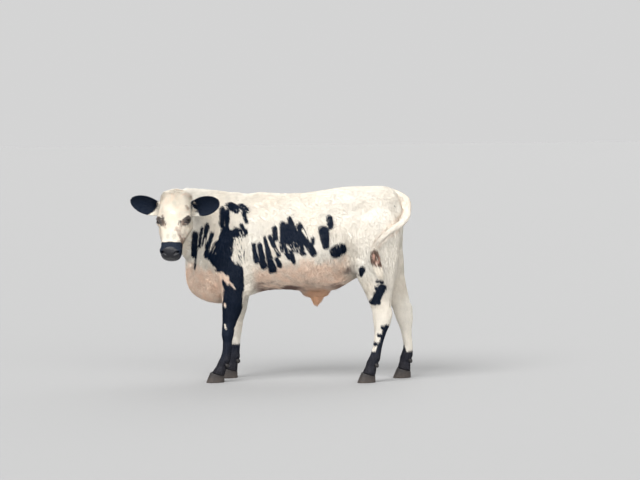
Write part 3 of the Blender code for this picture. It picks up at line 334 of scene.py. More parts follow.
WHITE_SLITS = (
    (-0.218, 0.947, 0.026, -0.229, 0.896, 0.017),
    (-0.176, 0.947, 0.017, -0.193, 0.913, 0.011),
    (-0.280, 0.622, 0.009, -0.212, 0.546, 0.006),
    (-0.275, 0.455, 0.008, -0.275, 0.441, 0.009),
    (-0.298, 0.398, 0.005, -0.298, 0.392, 0.005),
    (-0.278, 0.336, 0.006, -0.272, 0.313, 0.007),
    (-0.343, 0.820, 0.006, -0.360, 0.758, 0.007),
    (-0.392, 0.826, 0.005, -0.403, 0.768, 0.006),
    (0.039, 0.812, 0.009, 0.056, 0.761, 0.006),
    (0.103, 0.789, 0.006, 0.120, 0.772, 0.005),
    (0.201, 0.783, 0.005, 0.223, 0.737, 0.007),
    (0.189, 0.880, 0.008, 0.213, 0.840, 0.007),
)

# Where black and white hairs mix: the same strokes with the share of black hairs
ROAN = (
    (-0.198, 0.815, 0.034, -0.170, 0.700, 0.034, 0.42),
    (0.124, 0.931, 0.036, 0.171, 0.908, 0.036, 0.27),
    (0.075, 0.980, 0.034, 0.122, 0.992, 0.034, 0.15),
    (-0.120, 0.900, 0.040, -0.060, 0.880, 0.040, 0.05),
)

# Where white hairs break through the black, with their share
FROST = (
    (-0.360, 0.800, 0.030, -0.330, 0.760, 0.030, 0.34),
    (-0.160, 0.840, 0.040, -0.190, 0.740, 0.050, 0.36),
    (0.060, 0.780, 0.050, 0.200, 0.770, 0.040, 0.34),
    (-0.290, 0.990, 0.030, -0.150, 1.000, 0.030, 0.30),
    (0.309, 0.873, 0.030, 0.348, 0.901, 0.030, 0.12),
    (0.375, 0.775, 0.020, 0.410, 0.785, 0.020, 0.36),
)

# Patches of the far side, which no picture shows: the near ones moved by x and z and stretched
FAR_SHIFTS = {
    "shoulder_top": (0.020, -0.030, 0.90),
    "shoulder": (0.015, 0.020, 0.95),
    "neck": (0.010, -0.020, 0.90),
    "ribs": (0.070, 0.015, 0.90),
    "flank": (-0.020, 0.040, 1.10),
}

# Soft marks on the face: down and left at one end and its half width, the other end, then colour and share
FACE_MARKS = (
    (0.170, -0.060, 0.008, 0.202, -0.052, 0.008, "dark", 0.85),
    (0.202, -0.052, 0.009, 0.245, -0.038, 0.008, "brown", 0.42),
    (0.206, 0.066, 0.010, 0.242, 0.048, 0.009, "brown", 0.45),
    (0.290, 0.080, 0.016, 0.325, 0.070, 0.016, "brown", 0.95),
    (0.296, 0.055, 0.011, 0.316, 0.060, 0.011, "brown", 0.80),
    (0.326, 0.072, 0.013, 0.345, 0.080, 0.011, "brown", 0.80),
    (0.256, 0.036, 0.013, 0.278, 0.050, 0.015, "brown", 0.45),
    (0.244, 0.030, 0.010, 0.258, 0.024, 0.010, "brown", 0.50),
    (0.296, -0.014, 0.013, 0.308, -0.013, 0.013, "grey", 0.60),
    (0.296, 0.019, 0.014, 0.310, 0.020, 0.013, "grey", 0.65),
    (0.110, 0.070, 0.009, 0.120, 0.080, 0.009, "brown", 0.70),
    (0.090, 0.000, 0.010, 0.105, 0.006, 0.012, "grey", 0.35),
    (0.035, -0.008, 0.012, 0.055, 0.004, 0.010, "brown", 0.22),
)

# Heights where the black boots begin: near fore, far fore, near hind, far hind
BOOTS = {
    "foreleg_left": 0.305,
    "foreleg_right": 0.195,
    "hindleg_left": 0.176,
    "hindleg_right": 0.150,
}

# Colours of the coat
CREAM = (0.90, 0.855, 0.77)
WARM_CREAM = (0.89, 0.81, 0.69)
FACE_CREAM = (0.77, 0.695, 0.575)
TAN = (0.96, 0.71, 0.55)
# Brown of the lowest belly, darkened as painted shade under the belly; also the painted shade in the flank's
# fold
SHADED_BELLY_BROWN = (0.17, 0.10, 0.088)
BLACK = (0.0028, 0.0095, 0.0260)
DUSTY_BLACK = (0.026, 0.025, 0.032)
LEATHER_BLACK = (0.0052, 0.0055, 0.0095)
EYE_BROWN = (0.048, 0.036, 0.034)
# Grey of the cheeks' mottles, also used as painted shade toward the jawline
CHEEK_GREY = (0.34, 0.275, 0.23)
FACE_BROWN = (0.23, 0.155, 0.115)
BRIDGE_GREY = (0.50, 0.50, 0.42)
SHEATH_TAN = (0.70, 0.41, 0.25)
SWITCH_PALE = (0.86, 0.79, 0.68)
SOILED = (0.100, 0.055, 0.040)
SOILED_PINK = (0.46, 0.27, 0.21)

# Edges of the black: where it begins on the muzzle, how much wider than drawn it is on the trunk,
# and half the width over which it fades
MUZZLE_BLACK = 0.339
SKIN_BLACK_MARGIN = 0.0012
HAIR_BLACK_MARGIN = 0.0022
SKIN_BLACK_FADE = 0.0030
HAIR_BLACK_FADE = 0.0006
MIX_EDGE = 0.08

# Heights of the tan on belly and brisket and of the brown below it, which is partly painted shade under the
# belly
BELLY_TAN = 0.708
BRISKET_TAN = 0.700
BELLY_SHADE_LINE = 0.584

# Hair: how far it strays from its lie, the share of its length that shows past its neighbours, and
# how much darker than the hair the skin is
STRAY = 0.09
SHOWN = 0.85
SKIN_SHADE = 0.93

# Stations along each lock of the switch and the sheath's tuft
LOCK_STEPS = 8

# Feet: how high the hair ends in front and how much lower behind, the size of the claws' mesh, their
# growth rings, and the dewclaws' half sizes, lean and step forward
HAIR_END = 0.058
HAIR_END_DROP = 0.018
HOOF_VOXEL = 0.0027
RING_HEIGHT = 0.00035
RINGS = 900
DEWCLAW_SIZE = (0.0095, 0.0085, 0.0150)
DEWCLAW_LEAN = -0.55
DEWCLAW_FORWARD = Vector((0.0055, 0, 0))

TABLE_SIZE = 8192
NOISE_TABLE = np.random.default_rng(5).uniform(-1, 1, TABLE_SIZE)
SCRAMBLE = (73856093, 19349663, 83492791)
SEED_STEP = 7919


def head_point(down, out, left):
    """A place on the head: down the face from the poll, out from the brow, and to the calf's left."""
    return POLL + DOWN_FACE * down + BROW * out + TO_LEFT * left


def on_head(points):
    """Places in the head's own terms: down the face, out from the brow, and to the calf's left."""
    return (points - np.array(POLL)) @ HEAD_AXES.T


def step_up(values, low, high):
    """0 below one value and 1 above another, smooth between them."""
    t = np.clip((values - low) / (high - low), 0, 1)
    return t * t * (3 - 2 * t)


def unit(vectors):
    """The same directions, each one long."""
    return vectors / np.maximum(np.linalg.norm(vectors, axis=1, keepdims=True), 1e-9)


def away_from_path(points, path):
    """How far each point is from a path of places."""
    nearest = np.full(len(points), 1e9)
    for start, end in zip(path, path[1:]):
        along = end - start
        t = np.clip((points - start) @ along / (along @ along), 0, 1)
        nearest = np.minimum(nearest, np.linalg.norm(points - start - t[:, None] * along, axis=1))
    return nearest


def grain(points, size, seed):
    """Smooth random values from -1 to 1 through space, with swells about this size."""
    cell = points / size
    corner = np.floor(cell).astype(np.int64)
    part = cell - corner
    part = part * part * (3 - 2 * part)
    total = np.zeros(len(points))
    for step in itertools.product((0, 1), repeat=3):
        spot = corner + np.array(step)
        mixed = spot[:, 0] * SCRAMBLE[0] ^ spot[:, 1] * SCRAMBLE[1] ^ spot[:, 2] * SCRAMBLE[2]
        share = np.prod(np.where(np.array(step) == 1, part, 1 - part), axis=1)
        total += share * NOISE_TABLE[(mixed + seed * SEED_STEP) % TABLE_SIZE]
    return total


def streaks(points, runs, size, length, seed):
    """The same grain drawn out along the run of the hair."""
    total = np.zeros(len(points))
    steps = np.linspace(-0.5, 0.5, 7)
    for step in steps:
        total += grain(points + runs * (step * length), size, seed)
    return total * (1.7 / len(steps))


def stroke_depth(spots, strokes):
    """How far inside the nearest tapered stroke each spot lies, in metres; outside it is negative."""
    best = np.full(len(spots), -1.0)
    for x1, z1, r1, x2, z2, r2 in strokes:
        start = np.array((x1, z1))
        run = np.array((x2 - x1, z2 - z1))
        t = np.clip((spots - start) @ run / (run @ run), 0, 1)
        away = np.linalg.norm(spots - start - t[:, None] * run, axis=1)
        best = np.maximum(best, r1 + (r2 - r1) * t - away)
    return best


def far_patches():
    """The near side's patches, moved and stretched about their own middles."""
    moved = []
    for name, (dx, dz, stretch) in FAR_SHIFTS.items():
        strokes = np.array(NEAR_PATCHES[name])
        middle_x = strokes[:, [0, 3]].mean()
        middle_z = strokes[:, [1, 4]].mean()
        strokes[:, [0, 3]] = middle_x + dx - (strokes[:, [0, 3]] - middle_x) * stretch * 0.9
        strokes[:, [1, 4]] = middle_z + dz + (strokes[:, [1, 4]] - middle_z) * stretch
        strokes[:, [2, 5]] *= stretch
        moved += strokes.tolist()
    return moved


def guide_arrays():
    """Places, runs and lengths of the lie of the hair for trunk, neck and legs, and for the head."""
    body = []
    for x, out, z, dx, dout, dz, hair in BODY_LIE:
        for side in (-1, 1):
            body.append((x, MIDDLE_Y + side * out, z, dx, side * dout, dz, hair))
    body += NECK_LIE
    head = []
    for down, out, left, d_down, d_out, d_left, hair in HEAD_LIE:
        for side in (-1, 1):
            place = head_point(down, out, side * left)
            run = DOWN_FACE * d_down + BROW * d_out + TO_LEFT * (side * d_left)
            head.append((*place, *run, hair))
    return np.array(body), np.array(head)


def spread(points, guides, reach):
    """The run and length of the hair at each place, from the guides near it."""
    runs = np.zeros((len(points), 3))
    hair = np.zeros(len(points))
    total = np.zeros(len(points))
    for row in guides:
        away = np.sum((points - row[:3]) ** 2, axis=1)
        share = 1 / (away + reach**2) ** 2
        runs += share[:, None] * row[3:6] / np.linalg.norm(row[3:6])
        hair += share * row[6]
        total += share
    return runs, hair / total


def tail_stations():
    """The dock's places and the way it runs at each."""
    points = np.array(TAIL_ROUTE)
    return points, unit(np.gradient(points, axis=0))


def lie_of(points, normals, owners):
    """The way the hair lies on the skin, and how long it is."""
    body, head = guide_arrays()
    runs, hair = spread(points, body, 0.05)
    on = owners == OWNER["head"]
    runs[on], hair[on] = spread(points[on], head, 0.018)
    on = owners == OWNER["neck"]
    runs[on], hair[on] = spread(points[on], np.concatenate([body, head]), 0.030)
    on = owners == OWNER["tail"]
    stations, along = tail_stations()
    nearest = np.argmin(np.linalg.norm(points[on][:, None] - stations[None], axis=2), axis=1)
    runs[on] = along[nearest]
    hair[on] = 0.013 + 0.012 * (nearest / len(stations)) ** 2
    for side_name, side in SIDES.items():
        on = owners == OWNER["ear_" + side_name]
        root, run, _, _ = ear_frame(side)
        runs[on] = np.array(run)
        out = (points[on] - np.array(root)) @ np.array(run)
        hair[on] = 0.009 + 0.013 * (1 - step_up(out, 0.0, 0.040))
    swirl = np.stack([grain(points, 0.045, seed) for seed in (11, 12, 13)], axis=1)
    runs = unit(runs) + swirl * 0.22
    runs -= normals * np.sum(runs * normals, axis=1, keepdims=True)
    return unit(runs), hair


def side_left(side):
    """+1 for the calf's left side and -1 for its right."""
    return -side


def ear_frame(side):
    """Root, outward run, upward and forward directions of an ear."""
    down, out, left = EAR_ROOT
    root = head_point(down, out, side_left(side) * left)
    run = TO_LEFT * side_left(side) * 0.95 + Vector((0, 0, 1)) * EAR_RISE[side] + FORWARD * EAR_FORWARD
    run = run.normalized()
    face = FORWARD * 0.92 + Vector((0, 0, -1)) * 0.30
    face = (face - run * face.dot(run)).normalized()
    return root, run, run.cross(face) * side_left(side), face


NODES = sorted(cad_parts)
OWNER = {name: index for index, name in enumerate(NODES)}
LEGS = [name for name in NODES if "leg_" in name]
EARS = ["ear_left", "ear_right"]
FLESH = ["torso", "neck", "head", "tail", *LEGS, *EARS]
REGIONS = {
    "torso": ["torso"],
    "neck": ["neck"],
    "head": ["head"],
    "forelegs": ["foreleg_left", "foreleg_right"],
    "hindlegs": ["hindleg_left", "hindleg_right"],
    "tail": ["tail"],
    "ears": EARS,
}


def owner_tree():
    """Finds the frame node whose solid is nearest to a place."""
    entries = []
    for name in FLESH:
        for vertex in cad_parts[name].data.vertices:
            entries.append((vertex.co.copy(), OWNER[name]))
    tree = KDTree(len(entries))
    for index, (place, _) in enumerate(entries):
        tree.insert(place, index)
    tree.balance()
    return tree, [owner for _, owner in entries]


def owners_of(points):
    """The number of the frame node that each place belongs to."""
    tree, owners = owner_tree()
    return np.array([owners[tree.find(Vector(p))[1]] for p in points])


def is_on(owners, *names):
    """True where a place belongs to one of these nodes."""
    return np.isin(owners, [OWNER[name] for name in names])


def black_depth(points, owners):
    """How far inside the black each place lies, in metres, before its edge is made ragged."""
    spots = points[:, [0, 2]]
    near = points[:, 1] < MIDDLE_Y
    near_strokes = [row for rows in NEAR_PATCHES.values() for row in rows] + list(NEAR_LEGS)
    depth = np.where(
        near,
        np.minimum(stroke_depth(spots, near_strokes), -stroke_depth(spots, WHITE_SLITS)),
        stroke_depth(spots, far_patches() + list(FAR_LEGS)),
    )
    for name, height in BOOTS.items():
        on = owners == OWNER[name]
        depth[on] = np.maximum(depth[on], height - points[on, 2])
    down, out, left = on_head(points).T
    on = owners == OWNER["head"]
    under = 0.10 * np.clip(-out - 0.06, 0, 1)
    muzzle = down - MUZZLE_BLACK + under + 0.45 * np.clip(np.abs(left) - 0.028, 0, 0.030)
    depth[on] = muzzle[on]
    for side_name, side in SIDES.items():
        on = owners == OWNER["ear_" + side_name]
        root, run, up, _ = ear_frame(side)
        from_root = points[on] - np.array(root)
        beside = from_root @ np.array(up)
        rounded = np.where(beside > 0, 14.0, 3.0) * beside**2
        depth[on] = from_root @ np.array(run) - EAR_PALE_ROOT[side] - rounded
    depth[owners == OWNER["tail"]] = -1
    return depth


def skin_black_share(points, owners):
    """1 where the skin is black and 0 where it is white, with a softer edge than the hair above it."""
    trunk = is_on(owners, "torso", "neck", *LEGS)
    edge = black_depth(points, owners) + trunk * SKIN_BLACK_MARGIN
    return step_up(edge, -SKIN_BLACK_FADE, SKIN_BLACK_FADE)


def black_share(points, owners, runs):
    """1 where a hair is black and 0 where it is white, with ragged edges and mixed hairs."""
    depth = black_depth(points, owners)
    long_streak = streaks(points, runs, 0.0085, 0.060, 1)
    fine_streak = streaks(points, runs, 0.0045, 0.034, 2)
    trunk = is_on(owners, "torso", "neck", *LEGS)
    ragged = np.where(trunk, 1.0, 0.25)
    edge = depth + trunk * HAIR_BLACK_MARGIN + ragged * (0.0060 * long_streak + 0.0038 * fine_streak)
    share = step_up(edge, -HAIR_BLACK_FADE, HAIR_BLACK_FADE)
    spots = points[:, [0, 2]]
    near = points[:, 1] < MIDDLE_Y
    speck = streaks(points, runs, 0.0048, 0.026, 9)
    frost = mixing(spots, FROST) * near
    share = share * (1 - step_up(speck + frost * 2 - 1, 0.0, MIX_EDGE))
    roan = mixing(spots, ROAN) * near
    other_speck = streaks(points, runs, 0.0045, 0.022, 10)
    return np.maximum(share, step_up(other_speck + roan * 2 - 1, 0.0, MIX_EDGE))


def mixing(spots, zones):
    """The share of mixed hairs at each spot, strongest in the middle of each zone."""
    share = np.zeros(len(spots))
    for *stroke, amount in zones:
        share = np.maximum(share, amount * step_up(stroke_depth(spots, [stroke]), -0.02, 0.02))
    return share


def mixed_colour(base, colour, share):
    """Colours moved toward another one, each by its own share."""
    return base + (np.array(colour) - base) * share[:, None]


def trunk_tint(tint, points, runs, trunk):
    """Tan on brisket and belly, brown darkened by painted shade beneath, painted shade in the fold of the
    flank, and the sheath's own tan.
    """
    x, _, z = points.T
    drift = 0.022 * grain(points, 0.07, 21) + 0.012 * grain(points, 0.02, 22)
    drift = drift + 0.010 * grain(points * (1, 1, 0.3), 0.009, 24)
    belly_line = BELLY_TAN + 0.034 * step_up(x, -0.02, 0.16) + 1.5 * drift
    belly = step_up(belly_line - z, 0, 0.06) * step_up(0.47 - x, 0, 0.07)
    belly *= step_up(np.abs(x + 0.16), 0.03, 0.08)
    brisket_line = BRISKET_TAN + drift - 0.5 * np.clip(x + 0.42, 0, 0.2)
    brisket = step_up(brisket_line - z, 0, 0.09) * step_up(-0.275 - x, 0, 0.04)
    brisket *= 0.45 + 0.55 * step_up(x, -0.53, -0.44)
    lighter = 0.74 + 0.24 * grain(points, 0.030, 25) + 0.16 * streaks(points, runs, 0.007, 0.05, 26)
    tint = mixed_colour(tint, TAN, np.clip(trunk * np.maximum(belly, brisket * 0.85) * lighter, 0, 1))
    # Painted shade: the lowest belly's brown, darker than the hair itself, where the underside lies in shadow
    low = step_up(BELLY_SHADE_LINE + drift * 1.5 - z, 0, 0.05)
    low = low * step_up(x, -0.14, -0.08) * step_up(0.50 - x, 0, 0.05)
    low *= 0.35 + 0.65 * step_up(np.hypot((x - 0.24) * 0.8, z - 0.50), 0.05, 0.12)
    # Painted shade in the fold of the flank, in the same brown
    fold = step_up(0.040 - np.hypot((x - 0.435) * 0.8, z - 0.650) + drift, 0, 0.03)
    tint = mixed_colour(tint, SHADED_BELLY_BROWN, trunk * np.maximum(low * 0.90, fold * 0.70))
    pouch = step_up(0.09 - np.hypot(x - 0.237, z - 0.49), 0, 0.04) * step_up(0.56 - z, 0, 0.04)
    return mixed_colour(tint, SHEATH_TAN, trunk * pouch * 0.8)


def eye_patch(points, runs, side_name, side):
    """1 in the dark hair round an eye, ragged at its edge."""
    centre, _ = eye_centre(side_name)
    _, along, up = (np.array(axis) for axis in eye_axes(side))
    from_eye = points - np.array(centre)
    slant = (from_eye @ along - 0.004) / 0.052
    ring = 1 - np.hypot(slant, (from_eye @ up - 0.004) / 0.027)
    patch = step_up(ring + 0.30 * streaks(points, runs, 0.004, 0.016, 31), 0.0, 0.34)
    return patch * (np.linalg.norm(from_eye, axis=1) < 0.062)


def face_tint(tint, points, runs, head):
    """The face: cream, dark round the eyes, grey mottled cheeks with painted shade on the calf's left,
    painted shade in grey toward the jawline on that side, and its soft marks.
    """
    down, out, left = on_head(points).T
    creamy = head * (0.75 + 0.25 * grain(points, 0.035, 38)) * step_up(down, -0.02, 0.06)
    tint = mixed_colour(tint, FACE_CREAM, creamy)
    for side_name, side in SIDES.items():
        tint = mixed_colour(tint, EYE_BROWN, head * eye_patch(points, runs, side_name, side) * 0.95)
    # The calf's left cheek: real grey mottles, strengthened with painted shade because this side turns from
    # the light
    cheek = step_up(left, 0.020, 0.055) * step_up(down, 0.22, 0.27) * step_up(0.355 - down, 0, 0.03)
    mottle = step_up(grain(points, 0.014, 32) + 0.5 * grain(points, 0.007, 33), -0.25, 0.5)
    tint = mixed_colour(tint, CHEEK_GREY, head * cheek * (0.25 + 0.75 * mottle) * 0.62)
    # Painted shade: flat grey low on the calf's left side of the face, toward the jawline
    jawline_shade = step_up(left, 0.040, 0.075) * step_up(-out, 0.07, 0.12) * step_up(down, 0.20, 0.30)
    tint = mixed_colour(tint, CHEEK_GREY, head * jawline_shade * 0.45)
    far_cheek = step_up(-left, 0.035, 0.060) * step_up(down, 0.19, 0.24) * step_up(0.33 - down, 0, 0.03)
    tint = mixed_colour(tint, CHEEK_GREY, head * far_cheek * mottle * 0.35)
    face_colours = {"dark": EYE_BROWN, "brown": FACE_BROWN, "grey": BRIDGE_GREY}
    blur = 0.006 * grain(points, 0.008, 36) + 0.003 * streaks(points, runs, 0.003, 0.012, 37)
    for *stroke, colour, share in FACE_MARKS:
        inside = stroke_depth(np.column_stack([down, left]), [stroke]) + blur
        mark = step_up(inside, -0.003, 0.006) * step_up(out, -0.15, -0.13)
        tint = mixed_colour(tint, face_colours[colour], head * mark * share)
    mealy = step_up(grain(points, 0.012, 34), 0.10, 0.70) * step_up(down, 0.01, 0.05)
    tint = mixed_colour(tint, TAN, head * mealy * 0.26)
    curls = step_up(streaks(points, runs, 0.006, 0.030, 35), 0.15, 0.55) * step_up(0.085 - down, 0, 0.03)
    return mixed_colour(tint, TAN, head * curls * 0.38)


def white_tint(points, owners, runs):
    """The colour of the pale hair: cream above, tan below, and warm painted shade where the rump meets the
    tail.
    """
    tint = np.tile(np.array(CREAM), (len(points), 1))
    tint = mixed_colour(tint, WARM_CREAM, np.clip(0.35 + 0.5 * grain(points, 0.11, 23), 0, 1))
    tint = trunk_tint(tint, points, runs, is_on(owners, "torso", "neck"))
    tint = face_tint(tint, points, runs, is_on(owners, "head"))
    tint = mixed_colour(tint, TAN, is_on(owners, "tail") * 0.10)
    stations, _ = tail_stations()
    # Painted shade: warm tan along the tail's root, where the rump meets the tail
    rump_tail_shade = 1 - step_up(away_from_path(points, stations), 0.030, 0.048)
    return mixed_colour(tint, TAN, rump_tail_shade * is_on(owners, "torso") * 0.38)


def coat_colours(points, owners, runs, share, dice):
    """Each hair's colour: pale or black, dusted toward the ground, with its own small difference."""
    pale = white_tint(points, owners, runs)
    black = np.tile(np.array(BLACK), (len(points), 1))
    dust = step_up(0.30 - points[:, 2] + 0.05 * grain(points, 0.03, 41), 0, 0.26)
    black = mixed_colour(black, DUSTY_BLACK, dust)
    pale = mixed_colour(pale, DUSTY_BLACK, step_up(0.16 - points[:, 2], 0, 0.14) * 0.5)
    colours = pale + (black - pale) * share[:, None]
    light = 1 + dice.normal(0, 0.035, len(points))
    return np.clip(colours * light[:, None], 0, 1)


def as_arrays(mesh):
    """The places and normals of a mesh's vertices."""
    points = np.empty(len(mesh.vertices) * 3)
    mesh.vertices.foreach_get("co", points)
    normals = np.empty(len(mesh.vertices) * 3)
    mesh.vertex_normals.foreach_get("vector", normals)
    return points.reshape(-1, 3), normals.reshape(-1, 3)


def triangles_of(mesh):
    mesh.calc_loop_triangles()
    corners = np.empty(len(mesh.loop_triangles) * 3, dtype=np.int32)
    mesh.loop_triangles.foreach_get("vertices", corners)
    return corners.reshape(-1, 3)


def move_to(mesh, points):
    mesh.vertices.foreach_set("co", points.astype(np.float32).ravel())
    mesh.update()


def new_piece(name, mesh, *materials):
    """A piece of the model with its mesh and materials."""
    item = bpy.data.objects.new(name, mesh)
    bpy.context.scene.collection.objects.link(item)
    for material in materials:
        mesh.materials.append(material)
    return item


def mesh_of(shape, name):
    mesh = bpy.data.meshes.new(name)
    shape.to_mesh(mesh)
    shape.free()
    return mesh


def settle(item):
    """Applies every modifier of a piece."""
    graph = bpy.context.evaluated_depsgraph_get()
    mesh = bpy.data.meshes.new_from_object(item.evaluated_get(graph))
    item.modifiers.clear()
    item.data = mesh


def smooth_group(item, name, weights, repeats):
    """Smooths a piece by a weight for each vertex."""
    group = item.vertex_groups.new(name=name)
    levels = np.round(weights, 1)
    for level in np.unique(levels):
        if level > 0:
            group.add(np.nonzero(levels == level)[0].tolist(), float(level), "REPLACE")
    smooth = item.modifiers.new(name, "SMOOTH")
    smooth.factor = 0.5
    smooth.iterations = repeats
    smooth.vertex_group = name


def eye_centre(side_name):
    """Middle and radius of an eyeball."""
    low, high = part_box("eye_" + side_name)
    return (low + high) / 2, (high.z - low.z) / 2


def falloff(distance):
    """1 at a place, fading smoothly to 0 at its reach."""
    return np.clip(1 - distance**2, 0, None) ** 2


def press(points, normals, centre, radii, amount):
    """Raises, or with a minus sign sinks, the skin round a place, along its own normals."""
    distance = np.linalg.norm((points - np.array(centre)) / np.array(radii), axis=1)
    points += normals * (amount * falloff(distance))[:, None]


def press_line(points, normals, line, radius, amount):
    """The same along a path of places."""
    away = away_from_path(points, np.array([list(p) for p in line]))
    points += normals * (amount * falloff(away / radius))[:, None]


def combed_head():
    """The head's solid with its poll locks drawn back to the skull, because the coat has hair there."""
    shape = bmesh.new()
    shape.from_mesh(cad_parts["head"].data)
    bmesh.ops.remove_doubles(shape, verts=shape.verts, dist=0.00001)
    shape.normal_update()
    tree = BVHTree.FromBMesh(shape)
    locks = []
    for vertex in shape.verts:
        inward = -vertex.normal
        if (vertex.co - head_point(0.012, -0.02, 0)).length < POLL_REACH:
            hit, _, _, _ = tree.ray_cast(vertex.co + inward * 0.0005, inward, LOCK_DEPTH)
            if hit is not None:
                locks.append(vertex)
    for _ in range(LOCK_REPEATS):
        bmesh.ops.smooth_vert(
            shape, verts=locks, factor=0.5, use_axis_x=True, use_axis_y=True, use_axis_z=True
        )
    return mesh_of(shape, "combed_head")


def fused_skin():
    """One closed skin from the frame's flesh, with the core of the sheath and the eyeballs' seats."""
    shape = bmesh.new()
    for name in ["torso", "neck", "tail", *LEGS]:
        shape.from_mesh(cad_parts[name].data)
    shape.from_mesh(combed_head())
    bmesh.ops.remove_doubles(shape, verts=shape.verts, dist=0.00001)
    for side_name in SIDES:
        centre, radius = eye_centre(side_name)
        seat = Matrix.Translation(centre)
        bmesh.ops.create_uvsphere(shape, u_segments=32, v_segments=16, radius=radius - 0.0010, matrix=seat)
    middle, radii = SHEATH_CORE
    core = Matrix.Translation(middle) @ Matrix.Rotation(0.2, 4, "Y") @ Matrix.Diagonal((*radii, 1))
    bmesh.ops.create_uvsphere(shape, u_segments=24, v_segments=16, radius=1, matrix=core)
    skin = new_piece("skin", mesh_of(shape, "skin"))
    remesh = skin.modifiers.new("fuse", "REMESH")
    remesh.mode = "VOXEL"
    remesh.voxel_size = VOXEL
    settle(skin)
    return skin


def ease_place(skin, name, points, middle, reach, fade, repeats):
    """Smooths the skin round one place."""
    inside = 1 - np.linalg.norm((points - middle) / reach, axis=1)
    smooth_group(skin, name, np.minimum(1, inside.clip(0, 1) * fade), repeats)


def eased_skin(skin):
    """Takes the flats of the frame out of the skin, most on the trunk and the poll and least on the face."""
    points, _ = as_arrays(skin.data)
    down, out, left = on_head(points).T
    ahead = (points - np.array(head_point(0.03, -0.10, 0))) @ np.array(FORWARD)
    face = step_up(ahead, 0.0, 0.05) * step_up(0.16 - np.hypot(left, out + 0.08), 0, 0.03)
    eyes = np.zeros(len(points))
    for side_name in SIDES:
        centre, radius = eye_centre(side_name)
        away = np.linalg.norm(points - np.array(centre), axis=1)
        eyes = np.maximum(eyes, 1 - step_up(away, radius * 1.3, radius * 2.0))
    legs = 1 - step_up(points[:, 2], 0.10, 0.40) * 0.6
    smooth_group(skin, "all", np.ones(len(points)), FACE_SMOOTHING)
    smooth_group(skin, "lids", eyes, LID_SMOOTHING)
    smooth_group(skin, "trunk", (1 - face) * (1.2 - 0.7 * legs).clip(0, 1), SKIN_SMOOTHING)
    ease_place(skin, "poll", on_head(points), *POLL_EASED)
    ease_place(skin, "withers", points, *WITHERS_EASED)
    thin = skin.modifiers.new("thin", "DECIMATE")
    group = skin.vertex_groups.new(name="thin")
    border = np.abs(black_depth(points, owners_of(points))) < FINE_BORDER
    group.add(np.nonzero((face < 0.2) & ~border)[0].tolist(), 1.0, "REPLACE")
    count = sum(len(face.vertices) - 2 for face in skin.data.polygons)
    thin.ratio = min(1.0, SKIN_TRIANGLES / count)
    thin.vertex_group = "thin"
    settle(skin)


def split_edges_near(mesh, spots):
    """Halves the edges of the mesh near some places, for finer forms there."""
    shape = bmesh.new()
    shape.from_mesh(mesh)
    chosen = []
    for edge in shape.edges:
        middle = (edge.verts[0].co + edge.verts[1].co) / 2
        if any((middle - place).length < reach for place, reach in spots):
            chosen.append(edge)
    bmesh.ops.subdivide_edges(shape, edges=chosen, cuts=1, use_grid_fill=True, smooth=0.4)
    bmesh.ops.triangulate(shape, faces=shape.faces)
    shape.to_mesh(mesh)
    shape.free()


def tree_of(mesh):
    """A tree for finding where a ray meets a mesh."""
    return BVHTree.FromPolygons([v.co for v in mesh.vertices], [p.vertices for p in mesh.polygons])


def mouth_path(tree):
    """Round the muzzle from one corner of the mouth to the other, on the skin."""
    points = []
    for angle in np.linspace(-MOUTH_REACH, MOUTH_REACH, 31):
        rise = 0.16 * abs(math.sin(angle)) - 0.06
        heading = DOWN_FACE * math.cos(angle) + TO_LEFT * math.sin(angle) + BROW * rise
        place, _, _, _ = tree.ray_cast(head_point(0.345, MOUTH_HEIGHT, 0), heading.normalized())
        points.append(place)
    return points


def eye_axes(side):
    """Outward, toward the inner corner, and upward directions of an eye."""
    outward = (TO_LEFT * side_left(side) * 0.74 + BROW * 0.66 - DOWN_FACE * 0.06).normalized()
    along = DOWN_FACE * 0.62 + BROW * 0.62 - TO_LEFT * side_left(side) * 0.46
    along = (along - outward * along.dot(outward)).normalized()
    up = outward.cross(along).normalized()
    return outward, along, up if up.dot(DOWN_FACE) < 0 else -up


def lid_loop(side, grow, proud, count=44, part=1.0, start=0.0):
    """Places round the opening of the lids, on a ball that is a little larger than the eye."""
    side_name = "left" if side < 0 else "right"
    centre, radius = eye_centre(side_name)
    outward, along, up = eye_axes(side)
    found = []
    for i in range(count):
        angle = 2 * math.pi * (start + part * i / (count - (part < 1)))
        height = (LID_HEIGHT + grow) * math.sin(angle) * abs(math.sin(angle)) ** 0.35
        flat = along * ((LID_WIDTH + grow) * math.cos(angle)) + up * (height + LID_DROP)
        lift = math.sqrt(max((radius + proud) ** 2 - flat.length_squared, 0.0))
        found.append(centre + flat + outward * lift)
    return found


def lid_gap(points, side_name, side):
    """How far inside the opening of the lids each place lies, in metres; outside it is negative."""
    centre, radius = eye_centre(side_name)
    outward, along, up = (np.array(axis) for axis in eye_axes(side))
    from_eye = points - np.array(centre)
    away = np.linalg.norm(from_eye, axis=1)
    facing = from_eye / away[:, None]
    across = facing @ along * radius
    height = facing @ up * radius - LID_DROP
    wide = np.clip(1 - (across / LID_WIDTH) ** 2, 0, None)
    gap = LID_HEIGHT * wide**0.675 - np.abs(height) - np.clip(np.abs(across) - LID_WIDTH, 0, None)
    near = (facing @ outward > 0) & (away < radius * 1.8)
    return np.where(near, gap, -1.0), away, near


def seat_lids(points):
    """Draws the lids over each eyeball, open at the middle, and runs them into the face."""
    for side_name, side in SIDES.items():
        centre, radius = eye_centre(side_name)
        gap, away, near = lid_gap(points, side_name, side)
        shell = radius + LID_THICKNESS
        over = 0.5 * (away + shell + np.sqrt((away - shell) ** 2 + 0.005**2))
        over = away + (over - away) * (1 - step_up(away, radius * 1.4, radius * 1.8))
        behind = np.minimum(away, radius - 0.002)
        wanted = over + (behind - over) * step_up(gap, -0.0006, 0.0010)
        stretch = np.where(near, wanted / away, 1.0)
        points[:] = np.array(centre) + (points - np.array(centre)) * stretch[:, None]


